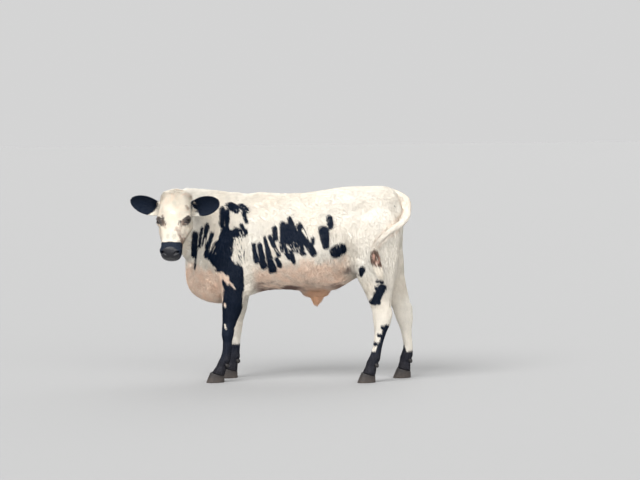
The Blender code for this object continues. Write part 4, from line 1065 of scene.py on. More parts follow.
def shape_face(points, normals, tree):
    """Folds and creases that the frame's solids leave out."""
    press_line(points, normals, mouth_path(tree), 0.0050, -0.0040)
    for side_name, side in SIDES.items():
        left = side_left(side)
        nostril = [head_point(down, out, left * across) for down, out, across in NOSTRIL]
        press_line(points, normals, nostril, 0.0085, -0.0035)
        rim = [p + DOWN_FACE * 0.002 + BROW * 0.014 for p in nostril[1:]]
        press_line(points, normals, rim, 0.0070, 0.0022)
        centre, _ = eye_centre(side_name)
        outward, _, up = eye_axes(side)
        brow = centre + up * 0.026 + outward * 0.004
        press(points, normals, brow, (0.026, 0.026, 0.026), 0.0040)
        under = centre - up * 0.026 + outward * 0.002
        press(points, normals, under, (0.024, 0.024, 0.024), 0.0022)
        for grow, depth in LID_FOLDS:
            fold = lid_loop(side, grow, 0.003, 18, 0.42, 0.04)
            press_line(points, normals, fold, 0.0026, depth)
        bag = lid_loop(side, 0.0070, 0.003, 14, 0.34, 0.56)
        press_line(points, normals, bag, 0.0030, -0.0016)
        tear = [head_point(down, out, left * across) for down, out, across in TEAR_LINE]
        press_line(points, normals, tear, 0.0050, -0.0018)
        for down, reach in WRINKLES:
            wrinkle = []
            for k in (0, 1, 2):
                across = left * (0.030 + reach * 0.22 * k)
                wrinkle.append(head_point(down - 0.004 * k, -0.012 - 0.018 * k, across))
            press_line(points, normals, wrinkle, 0.0030, -0.0010)
    press_line(points, normals, [head_point(*place) for place in GROOVE], 0.0040, -0.0018)


def bare_share(points, owners):
    """1 on the bare leather of the nose, lips and lids, and 0 under hair."""
    down, out, left = on_head(points).T
    pad = 1 - np.linalg.norm((on_head(points) - (0.408, -0.040, 0)) / (0.058, 0.056, 0.060), axis=1)
    lips = (down - 0.372) * 8
    bare = np.clip(np.maximum(pad * 6, lips), 0, 1) * (owners == OWNER["head"])
    for side_name, side in SIDES.items():
        gap, _, _ = lid_gap(points, side_name, side)
        bare = np.maximum(bare, step_up(gap, -0.0034, -0.0018))
    return bare


def ear_grid(side):
    """The pinna: rolled into a tube at its root and opening into a leaf-shaped cup."""
    root, run, up, face = ear_frame(side)
    shape = bmesh.new()
    bmesh.ops.create_grid(shape, x_segments=26, y_segments=34, size=1)
    for vertex in shape.verts:
        u, t = vertex.co.x, (vertex.co.y + 1) / 2 * 1.12 - 0.12
        inner = max(0.0, t)
        leaf = max(0.0, math.sin(math.pi * max(0.0, 0.10 + 0.90 * min(inner, 1)) ** 1.05)) ** 0.47
        half = max(0.5 * EAR_WIDTH * max(leaf, 0.03), 0.021 * (1 - inner) ** 2)
        open_share = min(1, inner / 0.55)
        roll = 2.5 + (0.78 - 2.5) * open_share**0.7 * (2 - open_share**0.7)
        bound = min(roll, math.pi / 2)
        radius = half / math.sin(bound)
        angle = roll * u
        sweep = face * (0.012 * inner * inner) - up * (0.010 * inner * inner)
        across = up * (radius * math.sin(angle))
        depth = face * (radius * math.cos(angle) - radius * math.cos(bound))
        vertex.co = root + run * (EAR_LENGTH * t) + sweep + across - depth
    bmesh.ops.recalc_face_normals(shape, faces=shape.faces)
    bmesh.ops.solidify(shape, geom=shape.faces, thickness=EAR_WALL)
    bmesh.ops.recalc_face_normals(shape, faces=shape.faces)
    bmesh.ops.triangulate(shape, faces=shape.faces)
    return mesh_of(shape, "ear")


def build_skin():
    """The skin with its face, inset by the depth of the coat, and with the ears grown on."""
    skin = fused_skin()
    eased_skin(skin)
    eyes = [(eye_centre(name)[0], 0.036) for name in SIDES]
    muzzle = [(head_point(0.385, -0.055, 0), 0.072)]
    split_edges_near(skin.data, eyes + muzzle)
    tree = tree_of(skin.data)
    points, _ = as_arrays(skin.data)
    seat_lids(points)
    move_to(skin.data, points)
    points, normals = as_arrays(skin.data)
    shape_face(points, normals, tree)
    owners = owners_of(points)
    _, hair = lie_of(points, normals, owners)
    for place, reach, amount in POLL_RISES:
        press(points, normals, head_point(*place), reach, amount)
    for place, reach, amount in WITHERS_RISES:
        press(points, normals, place, reach, amount)
    depth = hair * COAT_DEPTH * (1 - bare_share(points, owners))
    points -= normals * depth[:, None]
    points[:, 2] = np.maximum(points[:, 2], CORONET)
    move_to(skin.data, points)
    shape = bmesh.new()
    shape.from_mesh(skin.data)
    for side in SIDES.values():
        shape.from_mesh(ear_grid(side))
    shape.to_mesh(skin.data)
    shape.free()
    skin.data.shade_smooth()
    return skin


def dress_skin(skin, owners, runs):
    """Gives the skin the coat's own markings, and marks its bare leather."""
    points, _ = as_arrays(skin.data)
    share = skin_black_share(points, owners)
    colours = coat_colours(points, owners, runs, share, np.random.default_rng(8))
    bare = bare_share(points, owners)
    colours = mixed_colour(colours * SKIN_SHADE, LEATHER_BLACK, bare)
    tone = skin.data.attributes.new("tone", "FLOAT_COLOR", "POINT")
    rows = np.column_stack([colours, np.ones(len(points))])
    tone.data.foreach_set("color", rows.astype(np.float32).ravel())
    leather = skin.data.attributes.new("bare", "FLOAT", "POINT")
    leather.data.foreach_set("value", bare.astype(np.float32))


def scatter(points, normals, corners, spacing, dice):
    """Evenly strewn roots on some triangles, with the skin's normal at each."""
    a, b, c = (points[corners[:, i]] for i in range(3))
    area = np.linalg.norm(np.cross(b - a, c - a), axis=1) / 2
    count = int(area.sum() / spacing**2 * TRIES)
    chosen = dice.choice(len(corners), count, p=area / area.sum())
    first, second = dice.random(count), dice.random(count)
    flip = first + second > 1
    first[flip], second[flip] = 1 - first[flip], 1 - second[flip]
    shares = np.stack([1 - first - second, first, second], axis=1)
    roots = np.einsum("ij,ijk->ik", shares, points[corners[chosen]])
    upward = unit(np.einsum("ij,ijk->ik", shares, normals[corners[chosen]]))
    cells = np.floor(roots / spacing).astype(np.int64)
    _, kept = np.unique(cells, axis=0, return_index=True)
    kept = np.sort(kept)
    return roots[kept], upward[kept], chosen[kept]


def blade_shape(stations):
    """The faces of one tuft: a three-sided blade with a closed root and a pointed tip."""
    faces = [(0, 2, 1)]
    for row in range(stations - 1):
        for i in range(3):
            j = (i + 1) % 3
            low, high = 3 * row, 3 * row + 3
            faces += [(low + i, low + j, high + j), (low + i, high + j, high + i)]
    tip, low = 3 * stations, 3 * stations - 3
    faces += [(low, low + 1, tip), (low + 1, low + 2, tip), (low + 2, low, tip)]
    return np.array(faces)


def blade_points(roots, normals, runs, lengths, widths, lifts, curls, stations, sunk):
    """Where the corners of each tuft stand, as it rises from the skin and bends along it."""
    sides = unit(np.cross(runs, normals))
    found = []
    for row in range(stations + 1):
        t = row / stations
        height = lengths * lifts * t * (1.25 - 0.55 * t) - sunk * (1 - t)
        path = roots + runs * (lengths * t)[:, None] + normals * height[:, None]
        path += sides * (curls * lengths * t * t)[:, None]
        if row == stations:
            found.append(path)
            continue
        half = (widths * (1 - t**1.6) * (0.80 + 0.50 * math.sin(math.pi * t)))[:, None]
        found.append(path - sides * half - normals * half * 0.15)
        found.append(path + sides * half - normals * half * 0.15)
        found.append(path + normals * half * 0.55)
    return np.stack(found, axis=1)


def tuft_mesh(name, corners, colours, spots, stations):
    """Joins many tufts in one mesh, each with one colour and one small patch of the coat's map."""
    count, each = corners.shape[:2]
    pattern = blade_shape(stations)
    faces = (pattern[None] + (np.arange(count) * each)[:, None, None]).reshape(-1, 3)
    mesh = bpy.data.meshes.new(name)
    mesh.vertices.add(count * each)
    mesh.vertices.foreach_set("co", corners.astype(np.float32).ravel())
    mesh.loops.add(faces.size)
    mesh.loops.foreach_set("vertex_index", faces.astype(np.int32).ravel())
    mesh.polygons.add(len(faces))
    mesh.polygons.foreach_set("loop_start", np.arange(0, faces.size, 3, dtype=np.int32))
    mesh.update(calc_edges=True)
    rows = np.minimum(np.arange(each) // 3, stations) / stations
    shade = 0.90 + 0.13 * rows
    tone = np.ones((count, each, 4), np.float32)
    if colours.ndim == 2:
        colours = colours[:, None, :]
    tone[:, :, :3] = np.clip(colours * shade[None, :, None], 0, 1)
    layer = mesh.attributes.new("tone", "FLOAT_COLOR", "POINT")
    layer.data.foreach_set("color", tone.ravel())
    across = np.array([(-1, 1, 0)[i % 3] for i in range(each)]) * 0.5
    across[-1] = 0
    flat = np.stack([across, rows - 0.5], axis=1) * PATCH
    places = spots[:, None, :] + flat[None]
    coat_map = mesh.uv_layers.new(name="OFBake")
    coat_map.data.foreach_set("uv", places.reshape(-1, 2)[faces.ravel()].astype(np.float32).ravel())
    mesh.shade_smooth()
    return mesh


# The line from end to end of each part, for the coat's map
AXES = {
    "torso": ((-0.5, MIDDLE_Y, 0.80), (0.75, MIDDLE_Y, 0.80)),
    "neck": ((-0.27, MIDDLE_Y, 0.82), (-0.54, -0.12, 0.95)),
    "head": (head_point(0, -0.07, 0), head_point(0.41, -0.05, 0)),
    "foreleg_left": ((-0.25, -0.025, 0.45), (-0.33, -0.022, 0.04)),
    "foreleg_right": ((-0.25, 0.22, 0.45), (-0.29, 0.214, 0.04)),
    "hindleg_left": ((0.61, -0.038, 0.53), (0.55, -0.030, 0.04)),
    "hindleg_right": ((0.66, 0.229, 0.53), (0.73, 0.222, 0.04)),
    "tail": ((0.77, 0.06, 1.05), (0.60, -0.13, 0.78)),
}


def unwrapped(points, owners):
    """A map of the skin: round and along the axis of each limb, opened on its far side."""
    spots = np.zeros((len(points), 2))
    for name in FLESH:
        on = owners == OWNER[name]
        if not on.any():
            continue
        if name in AXES:
            start, end = (Vector(p) for p in AXES[name])
        else:
            root, run, _, _ = ear_frame(SIDES[name[4:]])
            start, end = root, root + run * EAR_LENGTH
        axis = (end - start).normalized()
        side = axis.cross(Vector((0.3, 1, 0.2))).normalized()
        other = axis.cross(side)
        from_start = points[on] - np.array(start)
        round_it = np.arctan2(from_start @ np.array(side), from_start @ np.array(other)) / (2 * math.pi) + 0.5
        spots[on] = np.column_stack([round_it, from_start @ np.array(axis)])
    return spots


def filled(spots):
    """Stretches a map so that it fills the square, short of its edge."""
    low, high = spots.min(axis=0), spots.max(axis=0)
    return 0.01 + 0.98 * (spots - low) / np.maximum(high - low, 1e-6)


def build_coat(skin, owners, runs, hair, material):
    """Tufts all over the skin, in pieces by region."""
    points, normals = as_arrays(skin.data)
    corners = triangles_of(skin.data)
    face_owner = owners[corners[:, 0]]
    for order, (region, names) in enumerate(REGIONS.items()):
        dice = np.random.default_rng(100 + order)
        on = np.isin(face_owner, [OWNER[name] for name in names])
        spacing = SPACING[region]
        roots, upward, faces = scatter(points, normals, corners[on], spacing, dice)
        first = corners[on][faces][:, 0]
        lay_region(region, roots, upward, owners[first], runs[first], hair[first], dice, material)


def above_hooves(roots, owners):
    """False where a leg's skin has passed into its claws."""
    kept = np.ones(len(roots), bool)
    for leg in LEGS:
        claws = [name for name in NODES if name.startswith("claw_" + leg.replace("leg", ""))]
        front = min(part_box(name)[0].x for name in claws)
        back = max(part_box(name)[1].x for name in claws)
        coronet = HAIR_END - HAIR_END_DROP * np.clip((roots[:, 0] - front) / (back - front), 0, 1)
        kept &= (owners != OWNER[leg]) | (roots[:, 2] > coronet)
    return kept


def lay_region(region, roots, upward, owners, runs, hair, dice, material):
    """The tufts of one region: their length, lift and colour, cut into pieces along the body."""
    covered = (bare_share(roots, owners) < 0.5) & above_hooves(roots, owners)
    roots, upward, owners, runs, hair = (a[covered] for a in (roots, upward, owners, runs, hair))
    runs = unit(runs + dice.normal(0, STRAY, roots.shape))
    runs = unit(runs - upward * np.sum(runs * upward, axis=1, keepdims=True))
    hair = hair * dice.uniform(0.80, 1.18, len(roots))
    lifts = np.clip(0.20 + 4.0 * (hair - 0.018), 0.19, 0.34) * dice.uniform(0.7, 1.3, len(roots))
    widths = TUFT_WIDTH[region] * dice.uniform(0.75, 1.2, len(roots))
    shown = roots + runs * (SHOWN * hair)[:, None]
    colours = coat_colours(roots, owners, runs, black_share(shown, owners, runs), dice)
    spots = unwrapped(roots, owners)
    for kind, shortest, longest, stations, sunk, curl in TUFT_KINDS:
        on = np.nonzero((hair >= shortest) & (hair < longest))[0]
        if len(on) == 0:
            continue
        on = on[np.argsort(roots[on, 0], kind="stable")]
        curls = dice.normal(0, curl, len(on))
        shapes = blade_points(
            roots[on], upward[on], runs[on], hair[on], widths[on], lifts[on], curls, stations, sunk * hair[on]
        )
        pieces = math.ceil(len(on) * len(blade_shape(stations)) / PIECE_TRIANGLES)
        for number, chosen in enumerate(np.array_split(np.arange(len(on)), pieces), 1):
            name = f"coat_{region}{kind}_{number}"
            mesh = tuft_mesh(name, shapes[chosen], colours[on][chosen], filled(spots[on][chosen]), stations)
            piece = new_piece(name, mesh, material)
            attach(piece, "root")


def along_line(stations, share):
    """Values between the stations of a line, at shares of its length."""
    stations = np.array(stations)
    place = np.clip(share, 0, 1) * (len(stations) - 1)
    low = np.minimum(place.astype(int), len(stations) - 2)
    part = (place - low)[:, None]
    return stations[low] * (1 - part) + stations[low + 1] * part


def lock_bundle(name, seed, count, line, girth, reach, width, wave, colour_of, material):
    """Overlapping wavy locks that follow a line, each one a closed tapered strand with its root inside."""
    dice = np.random.default_rng(seed)
    begin = (1 - reach) * dice.random(count)
    span = reach * dice.uniform(0.75, 1.0, count)
    turn = dice.uniform(0, 2 * math.pi, count)
    depth = np.sqrt(dice.uniform(0.25, 1.0, count))
    phase = dice.uniform(0, 2 * math.pi, count)
    twist = dice.normal(0, 0.5, count)
    paths = []
    for row in range(LOCK_STEPS + 1):
        t = row / LOCK_STEPS
        share = begin + span * t
        flare = 0.35 + 0.65 * min(1.0, 3.0 * t)
        angle = turn + twist * t
        out = np.stack([np.cos(angle), np.sin(angle)], axis=1)
        sway = np.sin(phase + 6.5 * t) * wave * t
        place = along_line(line, share)
        place[:, :2] += out * along_line(girth, share) * (depth * flare)[:, None]
        place[:, 0] += sway
        place[:, 1] += sway * np.cos(turn) * 0.5
        paths.append(place)
    outward = np.stack([np.cos(turn), np.sin(turn), turn * 0], axis=1)
    widths = width * dice.uniform(0.7, 1.3, count)
    rows = []
    for row, place in enumerate(paths[:-1]):
        t = row / LOCK_STEPS
        run = unit(paths[row + 1] - paths[max(row - 1, 0)])
        side = unit(np.cross(run, outward))
        half = (widths * (1 - t**2.4) * (0.65 + 0.5 * math.sin(math.pi * t)))[:, None]
        ridge = place + outward * half * 0.6
        rows.append(np.stack([place - side * half, place + side * half, ridge], axis=1))
    rows.append(paths[-1][:, None])
    shapes = np.concatenate(rows, axis=1)
    pick = dice.random((count, 2))
    colours = [colour_of(place, pick) for place in paths]
    colours = np.stack([colours[min(i // 3, LOCK_STEPS)] for i in range(3 * LOCK_STEPS + 1)], axis=1)
    spots = filled(np.column_stack([turn, paths[0][:, 2]]))
    return new_piece(name, tuft_mesh(name, shapes, colours, spots, LOCK_STEPS), material)


def switch_colours(places, pick):
    """Soiled where the locks leave the dock, and pale below."""
    level = step_up(0.776 + 0.014 * grain(places, 0.020, 51) - places[:, 2], 0, 0.014)
    level *= step_up(places[:, 2] - 0.660 - 0.014 * grain(places, 0.022, 52), 0, 0.020)
    pink = step_up(grain(places, 0.018, 53), 0.10, 0.35)[:, None]
    soil = np.array(SOILED) * (1 - pink) + np.array(SOILED_PINK) * pink
    share = level * np.where(pick[:, 0] < 0.85, 0.96, 0.30)
    tint = np.array(SWITCH_PALE) + (soil - np.array(SWITCH_PALE)) * share[:, None]
    return tint * (0.82 + 0.28 * pick[:, 1:])


def build_switch(material):
    """The switch, from the end of the dock down beside the thigh."""
    locks = lock_bundle(
        "switch", 61, SWITCH_LOCKS, SWITCH_LINE, SWITCH_GIRTH, 0.50, 0.0018, 0.0050,
        switch_colours, material,
    )
    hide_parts("tail_switch")
    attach(locks, "root")


def sheath_colours(places, pick):
    """Tan, each lock a little lighter or darker."""
    tint = np.tile(np.array(SHEATH_TAN), (len(places), 1))
    return tint * (0.80 + 0.32 * pick[:, 1:])


def build_sheath(material):
    """The tapering tuft round the sheath, below the belly."""
    locks = lock_bundle(
        "sheath_tuft", 62, SHEATH_LOCKS, SHEATH_LINE, SHEATH_GIRTH, 0.50, 0.0014, 0.0018,
        sheath_colours, material,
    )
    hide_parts("sheath")
    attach(locks, "root")


def build_eye(side_name, side, material):
    """The eyeball with its bulging cornea. An attribute tells how far each place is from the pupil."""
    centre, radius = eye_centre(side_name)
    outward, along, up = eye_axes(side)
    shape = bmesh.new()
    bmesh.ops.create_uvsphere(shape, u_segments=64, v_segments=40, radius=radius)
    for vertex in shape.verts:
        height = vertex.co.z / radius
        vertex.co.z += radius * 0.07 * max(0.0, (height - 0.74) / 0.26) ** 1.3
    turn = Matrix((along, up, outward)).transposed()
    if turn.determinant() < 0:
        bmesh.ops.scale(shape, vec=(1, -1, 1), verts=shape.verts)
        bmesh.ops.reverse_faces(shape, faces=shape.faces)
        turn = Matrix((along, -up, outward)).transposed()
    local = [v.co / radius for v in shape.verts]
    bmesh.ops.transform(shape, matrix=Matrix.Translation(centre) @ turn.to_4x4(), verts=shape.verts)
    mesh = mesh_of(shape, "eyeball")
    gaze = mesh.attributes.new("gaze", "FLOAT_VECTOR", "POINT")
    gaze.data.foreach_set("vector", np.array([list(p) for p in local], np.float32).ravel())
    mesh.shade_smooth()
    eye = new_piece("eyeball_" + side_name, mesh, material)
    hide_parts("eye_" + side_name)
    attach(eye, "root")


def build_lids(side_name, side, material):
    """The bare rim of both lids, closed round the eye and thicker above it."""
    centre, _ = eye_centre(side_name)
    _, _, up = eye_axes(side)
    path = lid_loop(side, 0.0004, 0.0012, 52)
    curve = bpy.data.curves.new("rim", "CURVE")
    curve.dimensions = "3D"
    curve.bevel_depth = LID_RADIUS
    curve.bevel_resolution = 3
    spline = curve.splines.new("POLY")
    spline.points.add(len(path) - 1)
    spline.use_cyclic_u = True
    for point, place in zip(spline.points, path):
        point.co = (*place, 1)
        point.radius = 1.0 + 0.9 * min(1.0, max(0.0, (place - centre).dot(up) / LID_HEIGHT))
    rim = new_piece("rim", curve)
    graph = bpy.context.evaluated_depsgraph_get()
    mesh = bpy.data.meshes.new_from_object(rim.evaluated_get(graph))
    bpy.data.objects.remove(rim)
    mesh.shade_smooth()
    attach(new_piece("lids_" + side_name, mesh, material), "root")


def build_lashes(side_name, side, material):
    """A fan of lashes along the upper lid."""
    dice = np.random.default_rng(70 + side)
    outward, _, up = eye_axes(side)
    path = lid_loop(side, 0.0012, 0.0022, LASHES, 0.42, 0.04)
    roots = np.array([list(p) for p in path])
    count = len(roots)
    fan = (roots - roots.mean(axis=0)) * 12
    runs = unit(np.array(outward) * 0.9 + 0.15 * np.array(up) + fan + dice.normal(0, 0.10, (count, 3)))
    normals = unit(np.tile(np.array(up), (count, 1)) - runs * (runs @ np.array(up))[:, None])
    lengths = dice.uniform(0.009, 0.016, count)
    droop = np.full(count, -0.30)
    curls = dice.normal(0, 0.1, count)
    widths = np.full(count, LASH_WIDTH)
    shapes = blade_points(roots, normals, runs, lengths, widths, droop, curls, LASH_STEPS, 0)
    pale = dice.random(count)[:, None] < 0.45
    colours = np.where(pale, np.array(CHEEK_GREY), np.array(EYE_BROWN)) * dice.uniform(0.6, 1.3, (count, 1))
    mesh = tuft_mesh("lashes", shapes, colours, filled(roots[:, :2]), LASH_STEPS)
    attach(new_piece("lashes_" + side_name, mesh, material), "root")


def build_hooves(material):
    """Finer claws in the place of the frame's, with rounded edges, growth rings and flat soles."""
    for name in NODES:
        if not name.startswith("claw"):
            continue
        shape = bmesh.new()
        shape.from_mesh(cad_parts[name].data)
        bmesh.ops.remove_doubles(shape, verts=shape.verts, dist=0.00001)
        hoof = new_piece("horn_" + name, mesh_of(shape, name), material)
        remesh = hoof.modifiers.new("even", "REMESH")
        remesh.mode = "VOXEL"
        remesh.voxel_size = HOOF_VOXEL
        smooth = hoof.modifiers.new("round", "SMOOTH")
        smooth.iterations = 5
        settle(hoof)
        hoof.data.materials.clear()
        hoof.data.materials.append(material)
        points, normals = as_arrays(hoof.data)
        lean = points[:, 2] + 0.30 * points[:, 0]
        rings = RING_HEIGHT * np.sin(lean * RINGS + 2 * grain(points, 0.02, 81))
        points += normals * (rings * step_up(points[:, 2], 0.004, 0.012))[:, None]
        points[:, 2] = np.maximum(points[:, 2], 0)
        move_to(hoof.data, points)
        hoof.data.shade_smooth()
        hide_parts(name)
        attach(hoof, "root")


def build_dewclaws(material):
    """Blunt rounded cones of horn behind each fetlock."""
    for name in NODES:
        if not name.startswith("dewclaw"):
            continue
        low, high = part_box(name)
        shape = bmesh.new()
        bmesh.ops.create_uvsphere(shape, u_segments=20, v_segments=14, radius=1)
        for vertex in shape.verts:
            slim = 1 - 0.35 * max(0.0, -vertex.co.z)
            vertex.co.x *= DEWCLAW_SIZE[0] * slim
            vertex.co.y *= DEWCLAW_SIZE[1] * slim
            vertex.co.z *= DEWCLAW_SIZE[2]
        middle = (low + high) / 2 - DEWCLAW_FORWARD
        place = Matrix.Translation(middle) @ Matrix.Rotation(DEWCLAW_LEAN, 4, "Y")
        bmesh.ops.transform(shape, matrix=place, verts=shape.verts)
        horn = new_piece("horn_" + name, mesh_of(shape, name), material)
        horn.data.shade_smooth()
        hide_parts(name)
        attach(horn, "root")


def new_material(name, values):
    """A material, with the values on its shader."""
    material = bpy.data.materials.new(name)
    material.use_nodes = True
    shader = material.node_tree.nodes["Principled BSDF"]
    set_values(shader, values)
    return material, shader


def set_values(node, values):
    """Sets some of a node's sockets."""
    for socket, value in values.items():
        node.inputs[socket].default_value = value


def add_node(material, kind, values):
    """One more node of a material, with the values on its sockets."""
    node = material.node_tree.nodes.new("ShaderNode" + kind)
    set_values(node, values)
    return node


def add_sum(material, kind, operation, values):
    """A node that works something out."""
    node = material.node_tree.nodes.new("ShaderNode" + kind)
    node.operation = operation
    set_values(node, values)
    return node


def add_reader(material, attribute):
    """Reads one of the piece's own attributes."""
    node = add_node(material, "Attribute", {})
    node.attribute_name = attribute
    return node


def add_mix(material, socket, colour):
    """Mixes two colours, of which one is given."""
    node = material.node_tree.nodes.new("ShaderNodeMix")
    node.data_type = "RGBA"
    node.inputs[socket].default_value = (*colour, 1)
    return node


def add_ramp(material, *stops):
    """Runs from one colour to another, each at its own place."""
    node = add_node(material, "ValToRGB", {})
    for element, (position, colour) in zip(node.color_ramp.elements, stops):
        element.position = position
        element.color = (*colour, 1)
    return node


def join(material, *rows):
    """Links sockets. Each row is a node and its output, then a node and its input."""
    for source, output, target, entry in rows:
        material.node_tree.links.new(source.outputs[output], target.inputs[entry])


def coat_material():
    """Short hair in each tuft's own colour, with faint grime."""
    material, shader = new_material("short_hair", {"Roughness": 0.68, "Specular IOR Level": 0.06})
    tone = add_reader(material, "tone")
    place = add_node(material, "TexCoord", {})
    grime = add_node(material, "TexNoise", {"Scale": 26, "Detail": 4})
    level = add_node(material, "MapRange", {"From Min": 0.3, "From Max": 0.7, "To Min": 0.90, "To Max": 1.06})
    scale = add_sum(material, "VectorMath", "SCALE", {})
    join(
        material,
        (place, "Object", grime, "Vector"),
        (grime, "Fac", level, "Value"),
        (tone, "Color", scale, 0),
        (level, "Result", scale, "Scale"),
        (scale, "Vector", shader, "Base Color"),
    )
    return material


def skin_material():
    """Hide in the coat's colours, with glossy pebbled leather where it is bare."""
    material, shader = new_material("hide_and_nose", {"Specular IOR Level": 0.55})
    tone = add_reader(material, "tone")
    bare = add_reader(material, "bare")
    place = add_node(material, "TexCoord", {})
    pebbles = add_node(material, "TexVoronoi", {"Scale": 330})
    fuzz = add_node(material, "TexNoise", {"Scale": 420, "Detail": 3})
    height = add_node(material, "Mix", {})
    rough = add_node(material, "MapRange", {"To Min": 0.80, "To Max": 0.29})
    bump = add_node(material, "Bump", {"Strength": 0.55, "Distance": 0.0012})
    join(
        material,
        (place, "Object", pebbles, "Vector"),
        (place, "Object", fuzz, "Vector"),
        (bare, "Fac", height, "Factor"),
        (fuzz, "Fac", height, "A"),
        (pebbles, "Distance", height, "B"),
        (height, "Result", bump, "Height"),
        (bare, "Fac", rough, "Value"),
        (rough, "Result", shader, "Roughness"),
        (bump, "Normal", shader, "Normal"),
        (tone, "Color", shader, "Base Color"),
    )
    return material


def lid_material():
    """Dark bare skin of the lids."""
    material, shader = new_material("lid_skin", {"Roughness": 0.38})
    place = add_node(material, "TexCoord", {})
    noise = add_node(material, "TexNoise", {"Scale": 300})
    ramp = add_ramp(material, (0.0, (0.010, 0.008, 0.008)), (1.0, (0.045, 0.032, 0.028)))
    bump = add_node(material, "Bump", {"Distance": 0.0006})
    join(
        material,
        (place, "Object", noise, "Vector"),
        (noise, "Fac", ramp, "Fac"),
        (noise, "Fac", bump, "Height"),
        (ramp, "Color", shader, "Base Color"),
        (bump, "Normal", shader, "Normal"),
    )
    return material


def eye_material():
    """Dark brown iris round a long level pupil, and a dark rim of white."""
    material, shader = new_material("wet_eye", {"Roughness": 0.05, "Specular IOR Level": 0.40})
    gaze = add_reader(material, "gaze")
    squeeze = add_sum(material, "VectorMath", "MULTIPLY", {1: (1 / 0.40, 1 / 0.24, 0)})
    pupil = add_sum(material, "VectorMath", "LENGTH", {})
    iris_flat = add_sum(material, "VectorMath", "MULTIPLY", {1: (1 / 0.72, 1 / 0.66, 0)})
    iris = add_sum(material, "VectorMath", "LENGTH", {})
    fibres = add_node(material, "TexNoise", {"Scale": 9, "Detail": 5})
    brown = add_ramp(material, (0.35, (0.008, 0.004, 0.003)), (0.70, (0.028, 0.012, 0.006)))
    pupil_edge = add_node(material, "MapRange", {"From Min": 0.92, "From Max": 1.08})
    iris_edge = add_node(material, "MapRange", {"From Min": 0.95, "From Max": 1.12})
    inner = add_mix(material, "A", (0.002, 0.002, 0.003))
    outer = add_mix(material, "B", (0.10, 0.065, 0.05))
    join(
        material,
        (gaze, "Vector", squeeze, 0),
        (squeeze, "Vector", pupil, 0),
        (gaze, "Vector", iris_flat, 0),
        (iris_flat, "Vector", iris, 0),
        (gaze, "Vector", fibres, "Vector"),
        (fibres, "Fac", brown, "Fac"),
        (pupil, "Value", pupil_edge, "Value"),
        (pupil_edge, "Result", inner, "Factor"),
        (brown, "Color", inner, "B"),
        (iris, "Value", iris_edge, "Value"),
        (iris_edge, "Result", outer, "Factor"),
        (inner, "Result", outer, "A"),
        (outer, "Result", shader, "Base Color"),
    )
    return material


def horn_material():
    """Dark horn, with growth lines and dry dust low down."""
    material, shader = new_material("dusty_horn", {})
    place = add_node(material, "TexCoord", {})
    stretch = add_node(material, "Mapping", {"Scale": (40, 40, 260)})
    lines = add_node(material, "TexNoise", {"Scale": 1.0, "Detail": 5})
    dust = add_node(material, "TexNoise", {"Scale": 55, "Detail": 6})
    ramp = add_ramp(material, (0.35, (0.007, 0.006, 0.007)), (0.75, (0.028, 0.024, 0.023)))
    split = add_node(material, "SeparateXYZ", {})
    low = add_node(material, "MapRange", {"From Min": 0.055, "From Max": 0.0})
    thick = add_sum(material, "Math", "MULTIPLY", {})
    mix = add_mix(material, "B", (0.085, 0.064, 0.051))
    rough = add_node(material, "MapRange", {"To Min": 0.42, "To Max": 0.80})
    bump = add_node(material, "Bump", {"Strength": 0.5, "Distance": 0.0015})
    join(
        material,
        (place, "Object", stretch, "Vector"),
        (stretch, "Vector", lines, "Vector"),
        (place, "Object", dust, "Vector"),
        (lines, "Fac", ramp, "Fac"),
        (place, "Object", split, "Vector"),
        (split, "Z", low, "Value"),
        (low, "Result", thick, 0),
        (dust, "Fac", thick, 1),
        (thick, "Value", mix, "Factor"),
        (ramp, "Color", mix, "A"),
        (mix, "Result", shader, "Base Color"),
        (dust, "Fac", rough, "Value"),
        (rough, "Result", shader, "Roughness"),
        (lines, "Fac", bump, "Height"),
        (bump, "Normal", shader, "Normal"),
    )
    return material


def build_calf():
    """Skin, coat, switch, sheath tuft, eyes, lids, lashes, claws and dewclaws."""
    hide = skin_material()
    hair_material = coat_material()
    skin = build_skin()
    skin.data.materials.clear()
    skin.data.materials.append(hide)
    points, normals = as_arrays(skin.data)
    owners = owners_of(points)
    runs, hair = lie_of(points, normals, owners)
    dress_skin(skin, owners, runs)
    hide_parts(*FLESH)
    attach(skin, "root")
    build_coat(skin, owners, runs, hair, hair_material)
    build_switch(hair_material)
    build_sheath(hair_material)
    eye = eye_material()
    lid = lid_material()
    for side_name, side in SIDES.items():
        build_eye(side_name, side, eye)
        build_lids(side_name, side, lid)
        build_lashes(side_name, side, hair_material)
    horn = horn_material()
    build_hooves(horn)
    build_dewclaws(horn)


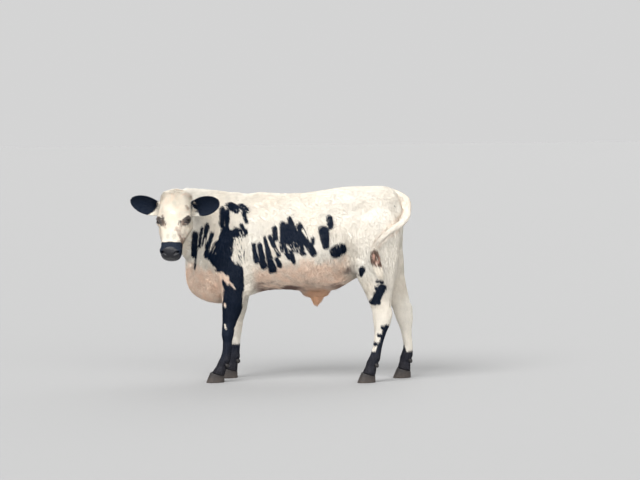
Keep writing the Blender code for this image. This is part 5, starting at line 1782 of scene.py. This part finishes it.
# Studio: the camera far off with a long lens, as the photo seems to have it, the floor, and the lights,
# each with the place it comes from, its strength and how wide it is in degrees
CAMERA_AZIMUTH = math.radians(6)
CAMERA_DISTANCE = 15.03
CAMERA_HEIGHT = 1.71
CAMERA_PITCH = math.radians(3.41)
CAMERA_ROLL = math.radians(0.7)
CAMERA_LENS = 146.25
AIM = Vector((0.2627, MIDDLE_Y, 0))
FLOOR_SIZE = 60
FLOOR_GREY = 0.333
WORLD_STRENGTH = 0.66
SUNS = {
    "key": ((-3.0, -5.5, 6.0), 3.1, 35),
    "fill": ((3.0, -6.0, 1.2), 2.6, 70),
    "back": ((2.0, 5.0, 5.0), 1.2, 60),
}


def place_camera():
    """At eye height on the calf's left, a little toward its rear and tipped slightly down."""
    data = bpy.data.cameras.new("camera")
    data.lens = CAMERA_LENS
    camera = bpy.data.objects.new("camera", data)
    bpy.context.scene.collection.objects.link(camera)
    right = Vector((math.cos(CAMERA_AZIMUTH), math.sin(CAMERA_AZIMUTH), 0))
    back = Vector((math.sin(CAMERA_AZIMUTH), -math.cos(CAMERA_AZIMUTH), 0))
    look = -back * math.cos(CAMERA_PITCH) - Vector((0, 0, 1)) * math.sin(CAMERA_PITCH)
    up = right.cross(look).normalized()
    turn = Matrix((right, up, -look)).transposed() @ Matrix.Rotation(-CAMERA_ROLL, 3, "Z")
    place = AIM + back * CAMERA_DISTANCE + Vector((0, 0, CAMERA_HEIGHT))
    camera.matrix_world = Matrix.Translation(place) @ turn.to_4x4()
    bpy.context.scene.camera = camera


def place_sun(name, place, strength, spread):
    """A wide soft light from the direction of a place."""
    data = bpy.data.lights.new(name, "SUN")
    data.energy = strength
    data.angle = math.radians(spread)
    light = bpy.data.objects.new(name, data)
    light.location = place
    light.rotation_euler = Vector(place).to_track_quat("Z", "Y").to_euler()
    bpy.context.scene.collection.objects.link(light)


def build_studio():
    """Pale floor, white surroundings and three wide soft lights."""
    shape = bmesh.new()
    bmesh.ops.create_grid(shape, x_segments=1, y_segments=1, size=FLOOR_SIZE)
    grey = (FLOOR_GREY, FLOOR_GREY, FLOOR_GREY, 1)
    material, _ = new_material("pale_floor", {"Roughness": 0.9, "Base Color": grey})
    new_piece("floor", mesh_of(shape, "floor"), material)
    world = bpy.data.worlds.new("soft_studio")
    world.use_nodes = True
    set_values(world.node_tree.nodes["Background"], {"Color": (1.0, 1.0, 1.0, 1), "Strength": WORLD_STRENGTH})
    bpy.context.scene.world = world
    bpy.context.scene.view_settings.view_transform = "Standard"
    for name, sun in SUNS.items():
        place_sun(name, *sun)


build_calf()
place_camera()
build_studio()
